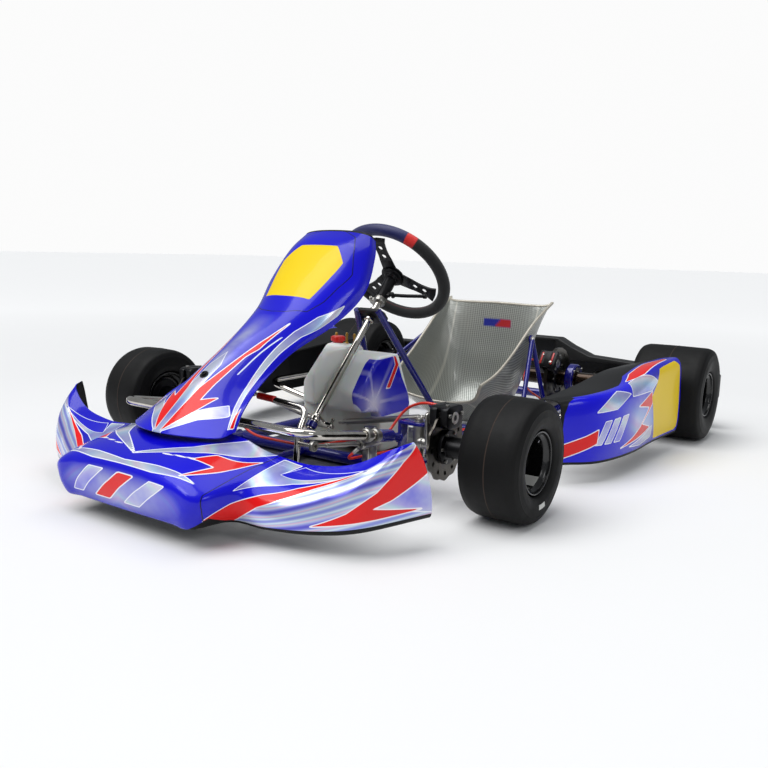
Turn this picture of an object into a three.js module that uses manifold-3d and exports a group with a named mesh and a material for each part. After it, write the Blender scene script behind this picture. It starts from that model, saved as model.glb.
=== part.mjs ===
// Racing kart chassis with front brakes, as separate pieces with real joints.
// Millimetres. X points to the driver's left, Y to the rear, Z up; the tyres stand on z = 0.
// Inside the file the front axle is at y = 0; the whole kart is then moved to stand on the
// middle of its own length.
import * as THREE from 'three';
import { mergeVertices } from 'three/addons/utils/BufferGeometryUtils.js';
import Module from 'manifold-3d';

const wasm = await Module();
wasm.setup();

// ---------------------------------------------------------------- driving dimensions
const LENGTH_FRONT = 546;         // nose ahead of the front axle
const LENGTH_REAR = 1300;         // rear bumper behind the front axle
const WHEELBASE = 1048;
const GAP = 0.3;                  // clearance between touching pieces

const FRONT = { radius: 128, width: 134, centre: 552, rim: 66 };
const REAR = { radius: 139.5, width: 213, centre: 588.5, rim: 66 };
const TYRE_SIDES = 24;            // one flat tread facet lies on the ground
const RIM_SIDES = 18;
const TUBE_SIDES = 8;
const AXLE_RADIUS = 25;
const AXLE_BORE = 22;
const AXLE_HALF = 520;

const KINGPIN_X = 325;
const KINGPIN_RADIUS = 5;
const STEER_ARM = 90;             // from the kingpin to the track-rod end
const PITMAN_ARM = 36;            // from the column to the track-rod pins
const PITMAN_HEIGHT = -478;       // along the steering axis, from the wheel's centre
const PITMAN_SPREAD = 22;
const UPPER_BEARING = -152;
const COLUMN_RADIUS = 9;
const COLUMN_TILT = THREE.MathUtils.degToRad(46.8);
const WHEEL_TILT = THREE.MathUtils.degToRad(40);
const WHEEL_CENTRE = new THREE.Vector3(0, 367, 481);
const STEERING_RADIUS = 164;
const GRIP_RADIUS = 16.5;

const FRAME_RADIUS = 15;
const FRAME_Z = 56;
const BUMPER_RADIUS = 10;
const SHELL = 4;                  // wall of the moulded bodywork

const BLUE = { color: 0x1a24c8, roughness: 0.3, metalness: 0.1 };
const FRAME_BLUE = { color: 0x10188c, roughness: 0.35, metalness: 0.2 };
const CHROME = { color: 0xd8d4cc, roughness: 0.12, metalness: 1.0 };
const STEEL = { color: 0xa8a8a6, roughness: 0.35, metalness: 1.0 };
const BLACK = { color: 0x0b0b0c, roughness: 0.45, metalness: 0.2 };
const RUBBER = { color: 0x101010, roughness: 0.8, metalness: 0.0 };
const DARK_AXLE = { color: 0x2a211b, roughness: 0.4, metalness: 0.8 };
const FIBREGLASS = { color: 0xb4ada0, roughness: 0.35, metalness: 0.3 };
const TANK_WHITE = { color: 0xdfe3e2, roughness: 0.4, metalness: 0.0 };
const RED = { color: 0xc81414, roughness: 0.4, metalness: 0.0 };
const SUEDE = { color: 0x121214, roughness: 0.95, metalness: 0.0 };

const kart = new THREE.Group();
const V = (x, y, z) => new THREE.Vector3(x, y, z);

// ---------------------------------------------------------------- solids and booleans
function toSolid(geometry) {
  const bare = geometry.clone();
  bare.deleteAttribute('normal');
  bare.deleteAttribute('uv');
  const merged = mergeVertices(bare, 1e-3);
  return new wasm.Manifold(new wasm.Mesh({
    numProp: 3,
    vertProperties: new Float32Array(merged.attributes.position.array),
    triVerts: new Uint32Array(merged.index.array),
  }));
}

function toGeometry(solid) {
  const mesh = solid.getMesh();
  const geometry = new THREE.BufferGeometry();
  geometry.setAttribute('position', new THREE.BufferAttribute(mesh.vertProperties, 3));
  geometry.setIndex(new THREE.BufferAttribute(mesh.triVerts, 1));
  return geometry;
}

function join(...geometries) {
  return toGeometry(geometries.map(toSolid).reduce((all, next) => all.add(next)));
}

function cut(geometry, ...tools) {
  return toGeometry(tools.map(toSolid).reduce((all, next) => all.subtract(next), toSolid(geometry)));
}

function mirrored(geometry) {
  const copy = toGeometry(toSolid(geometry)).applyMatrix4(new THREE.Matrix4().makeScale(-1, 1, 1));
  const index = copy.index.array;
  for (let i = 0; i < index.length; i += 3) [index[i], index[i + 1]] = [index[i + 1], index[i]];
  return copy;
}

function add(name, geometry, look) {
  const mesh = new THREE.Mesh(geometry, new THREE.MeshStandardMaterial(look));
  mesh.name = name;
  kart.add(mesh);
}

// The driver's left is the modelled side; the right one is its mirror image.
function addPair(name, geometry, look) {
  add(`${name}_left`, geometry, look);
  add(`${name}_right`, mirrored(geometry), look);
}

// ---------------------------------------------------------------- basic shapes
function rod(a, b, radius, sides = TUBE_SIDES) {
  const span = b.clone().sub(a);
  const turn = new THREE.Quaternion().setFromUnitVectors(V(0, 1, 0), span.clone().normalize());
  const middle = a.clone().add(b).multiplyScalar(0.5);
  return new THREE.CylinderGeometry(radius, radius, span.length(), sides)
    .applyQuaternion(turn).translate(middle.x, middle.y, middle.z);
}

// Radius of a many-sided hole whose flats clear a round shaft of this radius as it turns.
function bore(radius, sides) {
  return (radius + GAP) / Math.cos(Math.PI / sides);
}

function box(x0, x1, y0, y1, z0, z1) {
  return new THREE.BoxGeometry(x1 - x0, y1 - y0, z1 - z0)
    .translate((x0 + x1) / 2, (y0 + y1) / 2, (z0 + z1) / 2);
}

// Stations along a bent tube: straight runs, with each corner rounded by a short curve.
class BentPath extends THREE.Curve {
  constructor(corners, bend, steps = 3) {
    super();
    this.stations = [corners[0]];
    for (let i = 1; i < corners.length - 1; i += 1) {
      const [before, at, after] = corners.slice(i - 1, i + 2);
      const reach = Math.min(bend, before.distanceTo(at) * 0.48, after.distanceTo(at) * 0.48);
      const start = at.clone().add(before.clone().sub(at).setLength(reach));
      const end = at.clone().add(after.clone().sub(at).setLength(reach));
      this.stations.push(...new THREE.QuadraticBezierCurve3(start, at, end).getPoints(steps));
    }
    this.stations.push(corners[corners.length - 1]);
  }

  getPoint(t) {
    const place = t * (this.stations.length - 1);
    const i = Math.min(Math.floor(place), this.stations.length - 2);
    return this.stations[i].clone().lerp(this.stations[i + 1], place - i);
  }

  getPointAt(t) {
    return this.getPoint(t);
  }

  getTangentAt(t) {
    return this.getTangent(t);
  }
}

function disc(radius, sides) {
  const outline = new THREE.Shape();
  for (let i = 0; i < sides; i += 1) {
    const angle = 2 * Math.PI * (i + 0.5) / sides;
    const [x, y] = [radius * Math.cos(angle), radius * Math.sin(angle)];
    if (i === 0) outline.moveTo(x, y);
    else outline.lineTo(x, y);
  }
  return outline;
}

function tube(corners, radius, bend = 60, sides = TUBE_SIDES) {
  const path = new BentPath(corners, bend);
  return new THREE.ExtrudeGeometry(disc(radius, sides), {
    steps: path.stations.length - 1, extrudePath: path,
  });
}

// A closed profile of [across, radius] pairs turned about the wheel axle (the X direction).
function turned(profile, sides, x = 0, y = 0, z = 0) {
  const points = profile.map(([across, radius]) => new THREE.Vector2(radius, across));
  if (THREE.ShapeUtils.area(points) < 0) points.reverse();
  return new THREE.LatheGeometry(points, sides, Math.PI / 2 - Math.PI / sides)
    .rotateZ(-Math.PI / 2).translate(x, y, z);
}

function ring(x0, x1, inner, outer, sides, x = 0, y = 0, z = 0) {
  const profile = [[x0, inner], [x1, inner], [x1, outer], [x0, outer], [x0, inner]];
  return turned(profile, sides, x, y, z);
}

// A flat plate with the outline [a, b] in the YZ plane, from x0 to x1.
function plateYZ(outline, x0, x1) {
  const shape = new THREE.Shape(outline.map(([a, b]) => new THREE.Vector2(a, b)));
  return new THREE.ExtrudeGeometry(shape, { depth: x1 - x0, bevelEnabled: false })
    .rotateX(Math.PI / 2).rotateZ(Math.PI / 2).translate(x0, 0, 0);
}

// ---------------------------------------------------------------- moulded sheets
function smoothRow(points, count) {
  return new THREE.CatmullRomCurve3(points, false, 'catmullrom').getPoints(count);
}

// A net of control points becomes a grid that passes through all of them.
function smoothGrid(net, across, along) {
  const rows = net.map((row) => smoothRow(row, across));
  const columns = rows[0].map((_, j) => smoothRow(rows.map((row) => row[j]), along));
  return columns[0].map((_, i) => columns.map((column) => column[i]));
}

// The left half of a net, with its first row in the middle, completed by its mirror image.
function wholeNet(half) {
  const points = half.map((row) => row.map(([x, y, z]) => V(x, y, z)));
  const other = points.slice(1).map((row) => row.map((p) => V(-p.x, p.y, p.z))).reverse();
  return [...other, ...points];
}

function gridNormal(grid, i, j) {
  const row = (k) => grid[Math.min(Math.max(k, 0), grid.length - 1)];
  const pick = (r, k) => r[Math.min(Math.max(k, 0), r.length - 1)];
  const down = row(i + 1)[j].clone().sub(row(i - 1)[j]);
  const across = pick(grid[i], j + 1).clone().sub(pick(grid[i], j - 1));
  return down.cross(across).normalize();
}

// A closed solid between a grid and its copy, moved by the wall thickness against its normals.
function sheet(grid, wall) {
  const rows = grid.length;
  const columns = grid[0].length;
  const inner = grid.map((line, i) => line.map((p, j) =>
    p.clone().addScaledVector(gridNormal(grid, i, j), -wall)));
  const points = [...grid.flat(), ...inner.flat()];
  const id = (side, i, j) => side * rows * columns + i * columns + j;
  const faces = [];
  const quad = (a, b, c, d) => faces.push(a, b, c, a, c, d);
  for (let i = 0; i < rows - 1; i += 1) {
    for (let j = 0; j < columns - 1; j += 1) {
      quad(id(0, i, j), id(0, i + 1, j), id(0, i + 1, j + 1), id(0, i, j + 1));
      quad(id(1, i, j), id(1, i, j + 1), id(1, i + 1, j + 1), id(1, i + 1, j));
    }
    quad(id(0, i, 0), id(1, i, 0), id(1, i + 1, 0), id(0, i + 1, 0));
    quad(id(0, i, columns - 1), id(0, i + 1, columns - 1), id(1, i + 1, columns - 1),
      id(1, i, columns - 1));
  }
  for (let j = 0; j < columns - 1; j += 1) {
    quad(id(0, 0, j), id(0, 0, j + 1), id(1, 0, j + 1), id(1, 0, j));
    quad(id(0, rows - 1, j), id(1, rows - 1, j), id(1, rows - 1, j + 1), id(0, rows - 1, j + 1));
  }
  const geometry = new THREE.BufferGeometry().setFromPoints(points);
  geometry.setIndex(faces);
  return geometry;
}

// ---------------------------------------------------------------- frame
const YOKE_TOP = 172;
const YOKE_BOTTOM = 84;

// Two plates that hold the ends of the kingpin, on an upright joined to the side rail.
function kingpinYoke() {
  const upright = box(278, 286, -16, 16, FRAME_Z - 8, YOKE_TOP);
  const upper = box(280, KINGPIN_X + 20, -20, 20, YOKE_TOP - 6, YOKE_TOP);
  const lower = box(280, KINGPIN_X + 20, -20, 20, YOKE_BOTTOM, YOKE_BOTTOM + 6);
  const holes = rod(V(KINGPIN_X, 0, 70), V(KINGPIN_X, 0, 190), bore(KINGPIN_RADIUS, 12), 12);
  return cut(join(upright, upper, lower), holes);
}

function steeringUpright() {
  return rod(V(118, 462, FRAME_Z), V(34, 244, 386), 9);
}

function sideRail() {
  const rail = [V(190, -292, FRAME_Z), V(212, -60, FRAME_Z), V(212, 330, FRAME_Z),
    V(292, 480, FRAME_Z), V(292, 760, FRAME_Z), V(262, 930, FRAME_Z), V(262, 1190, FRAME_Z)];
  const bumperSocket = rod(V(275, -84, 148), V(275, -36, 140), 14, 10);
  const pedalPost = rod(V(205, -262, FRAME_Z), V(205, -262, FRAME_Z + 26), 8, 8);
  return join(
    tube(rail, FRAME_RADIUS, 90),
    kingpinYoke(),
    rod(V(212, 0, FRAME_Z), V(282, 0, FRAME_Z), FRAME_RADIUS),
    rod(V(276, -50, 142), V(281, -8, 132), 9),
    bumperSocket,
    pedalPost,
    steeringUpright(),
  );
}

function columnBracket() {
  return onColumn(box(-46, 46, -26, 26, -5, 5), UPPER_BEARING);
}

function mainFrame() {
  const left = sideRail();
  const cross = [
    rod(V(-200, -250, FRAME_Z), V(200, -250, FRAME_Z), 12),
    rod(V(-212, 0, FRAME_Z), V(212, 0, FRAME_Z), FRAME_RADIUS),
    rod(V(-285, 462, FRAME_Z), V(285, 462, FRAME_Z), FRAME_RADIUS),
    rod(V(-274, 880, FRAME_Z), V(274, 880, FRAME_Z), FRAME_RADIUS),
    rod(V(-262, 1175, FRAME_Z), V(262, 1175, FRAME_Z), FRAME_RADIUS),
    rod(V(0, 0, FRAME_Z), V(0, -250, FRAME_Z), 10, 8),
  ];
  const lowerBearing = join(rod(columnPoint(-512), columnPoint(-496), 14, 12),
    rod(V(0, -6, FRAME_Z), columnPoint(-504), 8, 8));
  const frame = join(left, mirrored(left), ...cross, columnBracket(), lowerBearing);
  const columnHole = rod(columnPoint(-560), columnPoint(-120), bore(COLUMN_RADIUS, 12), 12);
  return cut(frame, columnHole);
}

// ---------------------------------------------------------------- steering
// A point on the steering axis, at this distance above the wheel's centre.
function columnPoint(height) {
  return WHEEL_CENTRE.clone().add(V(0, Math.cos(COLUMN_TILT), Math.sin(COLUMN_TILT))
    .multiplyScalar(height));
}

// From column axes (Z up the column, Y down and to the rear) to the kart's.
function onColumn(geometry, height) {
  const base = columnPoint(height);
  return geometry.rotateX(COLUMN_TILT - Math.PI / 2).translate(base.x, base.y, base.z);
}

// The same for the steering wheel, whose boss tips it a little flatter than the column.
function onWheel(geometry) {
  return geometry.rotateX(WHEEL_TILT - Math.PI / 2)
    .translate(WHEEL_CENTRE.x, WHEEL_CENTRE.y, WHEEL_CENTRE.z);
}

function steeringColumn() {
  const shaft = rod(columnPoint(-516), columnPoint(-62), COLUMN_RADIUS, 12);
  const collars = [-486, -166, -138].map((h) => rod(columnPoint(h - 5), columnPoint(h + 5), 13, 12));
  const arm = onColumn(join(box(-30, 30, PITMAN_ARM - 9, PITMAN_ARM + 9, -4, 4),
    box(-12, 12, 0, PITMAN_ARM, -4, 4)), PITMAN_HEIGHT);
  const pins = [-PITMAN_SPREAD, PITMAN_SPREAD].map((x) => onColumn(
    rod(V(x, PITMAN_ARM, 0), V(x, PITMAN_ARM, 16), 4, 8), PITMAN_HEIGHT));
  return join(shaft, ...collars, arm, ...pins);
}

const LEVER_AT = V(31, 0, -78);   // clutch-lever pin, in column axes

function steeringHub() {
  const lug = box(8, LEVER_AT.x - 7, -5, 5, LEVER_AT.z - 6, LEVER_AT.z + 6);
  const sleeve = onColumn(join(rod(V(0, 0, -92), V(0, 0, -26), 16, 14), lug), 0);
  const flange = onWheel(rod(V(0, 0, -30), V(0, 0, -13.5 - GAP), 30, 16));
  return cut(join(sleeve, flange), onColumn(rod(V(0, 0, -100), V(0, 0, -60), COLUMN_RADIUS + GAP, 12), 0));
}

const SPOKE_ANGLES = [-Math.PI / 2, Math.PI / 6, 5 * Math.PI / 6];

function spokePlate() {
  const reach = STEERING_RADIUS - 2 * GRIP_RADIUS - 2;
  const middle = rod(V(0, 0, -13.5), V(0, 0, -8.5), 34, 16);
  const arms = SPOKE_ANGLES.map((angle) => {
    const width = 17;
    const arm = box(0, reach - 3, -width, width, -13.5, -8.5);
    const holes = [68, 96].map((x) => rod(V(x, 0, -20), V(x, 0, 0), 7, 10));
    return cut(arm, ...holes).rotateZ(angle);
  });
  return onWheel(join(middle, ...arms));
}

function steeringRim() {
  return onWheel(new THREE.TorusGeometry(STEERING_RADIUS - GRIP_RADIUS, GRIP_RADIUS, 8, 28));
}

const ARM_PIN = V(KINGPIN_X - 14, STEER_ARM, 156);

// Stub axle on its kingpin barrel, with the arm that the track rod pushes.
function spindle() {
  const barrel = rod(V(KINGPIN_X, 0, YOKE_BOTTOM + 6 + GAP), V(KINGPIN_X, 0, YOKE_TOP - 6 - GAP), 13, 12);
  const stub = rod(V(KINGPIN_X, 0, FRONT.radius), V(545, 0, FRONT.radius), 8.5, 12);
  const shoulder = rod(V(KINGPIN_X, 0, FRONT.radius), V(362, 0, FRONT.radius), 14, 12);
  const arm = box(ARM_PIN.x - 8, ARM_PIN.x + 8, 0, STEER_ARM + 8, ARM_PIN.z - 8, ARM_PIN.z);
  const root = box(ARM_PIN.x - 8, KINGPIN_X, -8, 12, ARM_PIN.z - 8, ARM_PIN.z);
  const pin = rod(ARM_PIN, ARM_PIN.clone().add(V(0, 0, 24)), 4, 8);
  const lug = plateYZ([[-20, 128], [20, 128], [24, 200], [-24, 200]], 352, 359);
  const pad = box(352, FRONT_DISC.x - 22 - GAP, -18, 18, 176, 200);
  return cut(join(barrel, stub, shoulder, arm, root, pin, lug, pad),
    rod(V(KINGPIN_X, 0, 70), V(KINGPIN_X, 0, 190), bore(KINGPIN_RADIUS, 12), 12));
}

function kingpin() {
  return join(rod(V(KINGPIN_X, 0, 74), V(KINGPIN_X, 0, 181), KINGPIN_RADIUS, 12),
    rod(V(KINGPIN_X, 0, YOKE_TOP + GAP), V(KINGPIN_X, 0, 181), 9, 6),
    rod(V(KINGPIN_X, 0, 72), V(KINGPIN_X, 0, YOKE_BOTTOM - GAP), 9, 6));
}

function trackRod() {
  const outer = ARM_PIN.clone().add(V(0, 0, 12));
  const inner = onColumnPoint(PITMAN_SPREAD, PITMAN_ARM, PITMAN_HEIGHT + 10);
  const eye = rod(outer.clone().add(V(0, 0, -8)), outer.clone().add(V(0, 0, 8)), 10, 12);
  const start = outer.clone().lerp(inner, 0.025);
  const end = outer.clone().lerp(inner, 0.93);
  const clear = rod(outer.clone().add(V(0, 0, -30)), outer.clone().add(V(0, 0, 30)), 4.6, 10);
  const bar = join(rod(start, end, 5, 8), rod(outer.clone().lerp(inner, 0.14),
    outer.clone().lerp(inner, 0.84), 7.5, 8));
  return cut(join(eye, bar), clear);
}

function onColumnPoint(x, y, height) {
  const down = V(0, Math.sin(COLUMN_TILT), -Math.cos(COLUMN_TILT));
  return columnPoint(height).add(V(x, 0, 0)).addScaledVector(down, y);
}

// ---------------------------------------------------------------- wheels and axle
// Tyre section, from one bead round the tread to the other, then the inner wall.
function tyre({ radius, width, rim }, x, y) {
  const h = width / 2;
  const tread = radius / Math.cos(Math.PI / TYRE_SIDES);
  const outside = [[-h + 14, rim + 2], [-h, radius * 0.72], [-h + 4, radius * 0.91],
    [-h + 24, tread], [h - 24, tread], [h - 4, radius * 0.91], [h, radius * 0.72],
    [h - 14, rim + 2]];
  const inside = [[h - 20, rim + 2], [h - 12, radius * 0.72], [h - 26, radius - 9],
    [-h + 26, radius - 9], [-h + 12, radius * 0.72], [-h + 20, rim + 2]];
  return turned([...outside, ...inside, outside[0]], TYRE_SIDES, x, y, radius);
}

// Rim shell with a dished disc that bolts to the hub; discAt is the disc's place across the rim.
function rimShell({ radius, width, rim }, x, y, discAt, hole) {
  const h = width / 2 - 10;
  const profile = [[-h, rim], [-h + 14, rim - 10], [h - 14, rim - 10], [h, rim], [h, rim - 4],
    [h - 14, rim - 14], [discAt + 5, rim - 14], [discAt + 5, hole], [discAt - 5, hole],
    [discAt - 5, rim - 14], [-h + 14, rim - 14], [-h, rim - 4], [-h, rim]];
  return turned(profile, RIM_SIDES, x, y, radius);
}

const FRONT_DISC = { x: 392, radius: 76, half: 2.5 };
const REAR_DISC = { x: 205, radius: 100, half: 6 };
const FRONT_WHEEL_PLATE = -30;    // rim disc, across from the rim's middle
const REAR_WHEEL_PLATE = -52;

function frontHub() {
  const wheelFace = FRONT.centre + FRONT_WHEEL_PLATE - 5 - GAP;
  const discFace = FRONT_DISC.x + FRONT_DISC.half + GAP;
  const profile = [[376, 8.5 + GAP], [540, 8.5 + GAP], [540, 22], [wheelFace, 24], [wheelFace, 44],
    [wheelFace - 7, 44], [wheelFace - 7, 24], [404, 24], [404, 38], [discFace, 38], [discFace, 30], [376, 30],
    [376, 8.5 + GAP]];
  return turned(profile, 14, 0, 0, FRONT.radius);
}

function rearHub() {
  const wheelFace = REAR.centre + REAR_WHEEL_PLATE - 5 - GAP;
  const profile = [[440, AXLE_RADIUS + GAP], [wheelFace + 30, AXLE_RADIUS + GAP],
    [wheelFace + 30, 31], [wheelFace, 31], [wheelFace, 48], [wheelFace - 8, 48],
    [wheelFace - 8, 33], [440, 33], [440, AXLE_RADIUS + GAP]];
  return turned(profile, 16, 0, WHEELBASE, REAR.radius);
}

function brakeDisc({ x, radius, half }, hole, y, z) {
  return ring(x - half, x + half, hole, radius, 20, 0, y, z);
}

// Caliper body reaching over a disc's edge, with a slot for the disc and the pads.
function caliper({ x, radius, half }, y, z, angle, thickness) {
  const inner = radius - 34;
  const outer = radius + 16;
  const block = box(x - thickness, x + thickness, -34, 34, inner, outer);
  const slot = box(x - half - 2, x + half + 2, -60, 60, inner - 20, radius + 4);
  return cut(block, slot).rotateX(angle).translate(0, y, z);
}

function discCarrier() {
  const profile = [[REAR_DISC.x - 34, AXLE_RADIUS + GAP], [REAR_DISC.x + 8, AXLE_RADIUS + GAP],
    [REAR_DISC.x + 8, 34], [REAR_DISC.x + 4, 34], [REAR_DISC.x + 4, 52 - GAP],
    [REAR_DISC.x - 4, 52 - GAP], [REAR_DISC.x - 4, 36], [REAR_DISC.x - 34, 36],
    [REAR_DISC.x - 34, AXLE_RADIUS + GAP]];
  return turned(profile, 16, 0, WHEELBASE, REAR.radius);
}

// Bearing housing on two plates that stand on the side rail.
function bearingHanger() {
  const x = 262;
  const top = FRAME_Z + FRAME_RADIUS + 1;
  const housing = ring(x - 14, x + 14, bore(AXLE_RADIUS, 16), 50, 16, 0, WHEELBASE, REAR.radius);
  const plate = plateYZ([[WHEELBASE - 62, top], [WHEELBASE + 62, top], [WHEELBASE + 44, 132],
    [WHEELBASE - 44, 132]], x - 4, x + 4);
  const seat = rod(V(x - 30, WHEELBASE, REAR.radius), V(x + 30, WHEELBASE, REAR.radius), 45, 20);
  return join(cut(plate, seat), housing);
}

// ---------------------------------------------------------------- bodywork nets
// Rows run from the middle to the driver's left; each goes from the lower lip to the rear edge.
const SPOILER_NET = [
  [[0, -520, 36], [0, -538, 46], [0, -546, 92], [0, -534, 134], [0, -440, 164], [0, -350, 176]],
  [[125, -520, 36], [128, -537, 46], [134, -545, 88], [136, -532, 129], [130, -440, 158],
    [125, -350, 170]],
  [[170, -514, 34], [182, -530, 42], [200, -536, 76], [207, -524, 107], [196, -440, 134],
    [188, -345, 152]],
  [[192, -436, 32], [205, -452, 40], [224, -462, 68], [238, -452, 98], [240, -398, 124],
    [240, -338, 142]],
  [[274, -424, 32], [282, -442, 40], [292, -440, 66], [298, -424, 94], [304, -386, 120],
    [306, -336, 140]],
  [[357, -400, 34], [371, -416, 44], [381, -410, 80], [387, -394, 114], [391, -364, 140],
    [393, -332, 156]],
  [[432, -357, 42], [445, -371, 53], [455, -370, 95], [462, -358, 138], [467, -338, 171],
    [471, -317, 195]],
  [[498, -242, 54], [513, -248, 64], [519, -259, 101], [519, -273, 144], [514, -289, 185],
    [506, -305, 208]],
];

// Rows run from the base up to the top; each goes from the ridge to the driver's left edge.
const PANEL_NET = [
  [[0, -452, 179], [66, -440, 178], [122, -404, 176], [132, -368, 184]],
  [[0, -392, 226], [56, -380, 222], [106, -352, 212], [116, -326, 222]],
  [[0, -324, 278], [48, -311, 271], [88, -286, 254], [98, -258, 262]],
  [[0, -215, 346], [45, -206, 338], [84, -188, 316], [94, -160, 316]],
  [[0, -100, 416], [60, -92, 411], [106, -68, 384], [116, -36, 374]],
  [[0, -20, 490], [78, -12, 485], [136, 18, 458], [146, 56, 438]],
  [[0, 46, 552], [76, 50, 549], [130, 80, 530], [139, 122, 514]],
  [[0, 100, 587], [66, 104, 585], [112, 120, 574], [120, 156, 556]],
];

// Rows run from the pod's front to its rear; each goes from the lower edge over the top inwards.
const POD_NET = [
  [[540, 294, 52], [538, 290, 90], [536, 290, 150], [528, 294, 196], [500, 298, 204], [470, 300, 200]],
  [[600, 376, 50], [604, 372, 90], [600, 372, 150], [590, 374, 206], [556, 376, 214], [480, 380, 206]],
  [[630, 520, 50], [636, 520, 90], [632, 520, 160], [620, 520, 216], [580, 520, 224], [480, 520, 212]],
  [[634, 700, 50], [642, 700, 90], [640, 700, 180], [630, 700, 246], [590, 700, 254], [480, 700, 226]],
  [[646, 870, 50], [652, 872, 90], [650, 874, 180], [642, 872, 254], [600, 866, 260], [480, 850, 226]],
];

// Rows run from the seat's front edge to the top of its back; each goes from right to left.
const SEAT_X = 65;
const SEAT_NET = [
  [[-146, 500, 176], [-120, 508, 130], [-50, 520, 112], [0, 524, 108], [50, 520, 112],
    [120, 508, 130], [146, 500, 176]],
  [[-162, 560, 204], [-142, 572, 116], [-80, 590, 62], [0, 596, 50], [80, 590, 62],
    [142, 572, 116], [162, 560, 204]],
  [[-168, 640, 250], [-152, 662, 130], [-96, 700, 44], [0, 712, 34], [96, 700, 44],
    [152, 662, 130], [168, 640, 250]],
  [[-172, 720, 306], [-158, 750, 206], [-104, 800, 120], [0, 816, 100], [104, 800, 120],
    [158, 750, 206], [172, 720, 306]],
  [[-176, 780, 346], [-160, 806, 286], [-104, 836, 240], [0, 846, 232], [104, 836, 240],
    [160, 806, 286], [176, 780, 346]],
  [[-182, 880, 394], [-164, 866, 384], [-100, 862, 384], [0, 862, 386], [100, 862, 384],
    [164, 866, 384], [182, 880, 394]],
];

function spoiler() {
  return sheet(smoothGrid(wholeNet(SPOILER_NET), 8, 26), SHELL);
}

function frontPanel() {
  const net = PANEL_NET.map((row) => {
    const left = row.map(([x, y, z]) => V(x, y, z));
    return [...left.slice(1).map((p) => V(-p.x, p.y, p.z)).reverse(), ...left];
  });
  return sheet(smoothGrid(net, 10, 12), SHELL);
}

function sidePod() {
  const net = POD_NET.map((row) => row.map(([x, y, z]) => V(x, y, z)));
  return sheet(smoothGrid(net, 10, 12), SHELL);
}

function seat() {
  const net = SEAT_NET.map((row) => row.map(([x, y, z]) => V(SEAT_X + x, y, z)));
  return sheet(smoothGrid(net, 12, 10), 5);
}

function rearBumper() {
  const half = [[0, 250], [120, 250], [170, 224], [240, 196], [400, 187], [640, 187], [668, 170],
    [668, 96], [640, 78], [400, 74], [240, 80], [0, 80]];
  const outline = [...half, ...half.slice(1, -1).reverse().map(([x, z]) => [-x, z])];
  const shape = new THREE.Shape(outline.map(([x, z]) => new THREE.Vector2(x, z)));
  const block = new THREE.ExtrudeGeometry(shape, { depth: 60, bevelEnabled: false })
    .rotateX(Math.PI / 2).translate(0, LENGTH_REAR, 0);
  const hollow = box(-640, 640, LENGTH_REAR - 70, LENGTH_REAR - 8, 88, 176);
  const hollowTop = box(-112, 112, LENGTH_REAR - 70, LENGTH_REAR - 8, 150, 240);
  return cut(block, hollow, hollowTop);
}

// ---------------------------------------------------------------- bars, tray and brackets
function frontBumperUpper() {
  return tube([V(275, -84 - GAP, 148), V(275, -320, 190), V(-275, -320, 190),
    V(-275, -84 - GAP, 148)], BUMPER_RADIUS, 50);
}

function frontBumperLower() {
  return tube([V(190, -295, FRAME_Z), V(190, -404, 62), V(-190, -404, 62),
    V(-190, -295, FRAME_Z)], 8, 50);
}

function sideBumper() {
  return tube([V(311, 452, 62), V(520, 424, 118), V(520, 770, 118), V(311, 742, 62)], 9, 60);
}

function floorTray() {
  return box(-196, 196, -296, 446, FRAME_Z - FRAME_RADIUS - 3 - GAP, FRAME_Z - FRAME_RADIUS - GAP);
}

// Two tubes from the side rail that meet at the flank of the seat.
function seatStay(railX, topX) {
  const foot = FRAME_Z + FRAME_RADIUS + GAP;
  const top = V(topX, 742, 292);
  const feet = [596, 752].map((y) => rod(V(railX, y, foot), V(railX, y, foot + 4), 12));
  const struts = [596, 752].map((y) => tube([V(railX, y, foot + 2), V(railX, y, foot + 28), top], 7, 20));
  const inward = Math.sign(SEAT_X - topX);
  return join(...feet, ...struts, rod(top, V(topX + inward * 6, 742, 292), 13));
}

function rearBumperBracket() {
  return tube([V(262, 1190 + GAP, FRAME_Z), V(262, 1214, FRAME_Z), V(262, 1240, 132),
    V(262, LENGTH_REAR - 8 - GAP, 132)], 10, 30);
}

function panelBracket() {
  return tube([V(52, 16, 505), V(30, 104, 424), V(-30, 104, 424), V(-52, 16, 505)], 6, 30);
}

// ---------------------------------------------------------------- fuel tank
const CAP_AT = V(-86, 232, 0);
const TANK = { front: 36, rear: 292, top: 288, bottom: 46, half: 136 };

// Seen from above and from the side the tank has cut corners; the column lies in a slot.
function fuelTank() {
  const { front, rear, top, bottom, half } = TANK;
  const plan = new THREE.Shape([[-64, front + 30], [half - 20, front], [half, front + 24], [half, rear - 40],
    [half - 30, rear], [30 - half, rear], [-half, rear - 30], [-half, front + 120]]
    .map(([x, y]) => new THREE.Vector2(x, y)));
  const fromAbove = new THREE.ExtrudeGeometry(plan, { depth: top - bottom, bevelEnabled: false })
    .translate(0, 0, bottom);
  const fromSide = plateYZ([[front, 200], [front + 56, top - 16], [front + 84, top], [rear - 12, top],
    [rear, top - 12], [rear, bottom + 30], [rear - 30, bottom], [front + 92, bottom],
    [front + 82, 150], [front + 14, 156]],
  -half - 10, half + 10);
  const slot = onColumn(box(-24, 24, -400, 22, -700, 200), 0);
  const neck = rod(CAP_AT.clone().setZ(top - 10), CAP_AT.clone().setZ(top + 10), 20, 16);
  const mouth = rod(CAP_AT.clone().setZ(top - 120), CAP_AT.clone().setZ(top + 30), 15, 16);
  const body = toGeometry(toSolid(fromAbove).intersect(toSolid(fromSide)));
  return cut(join(body, neck), slot, mouth);
}

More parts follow.
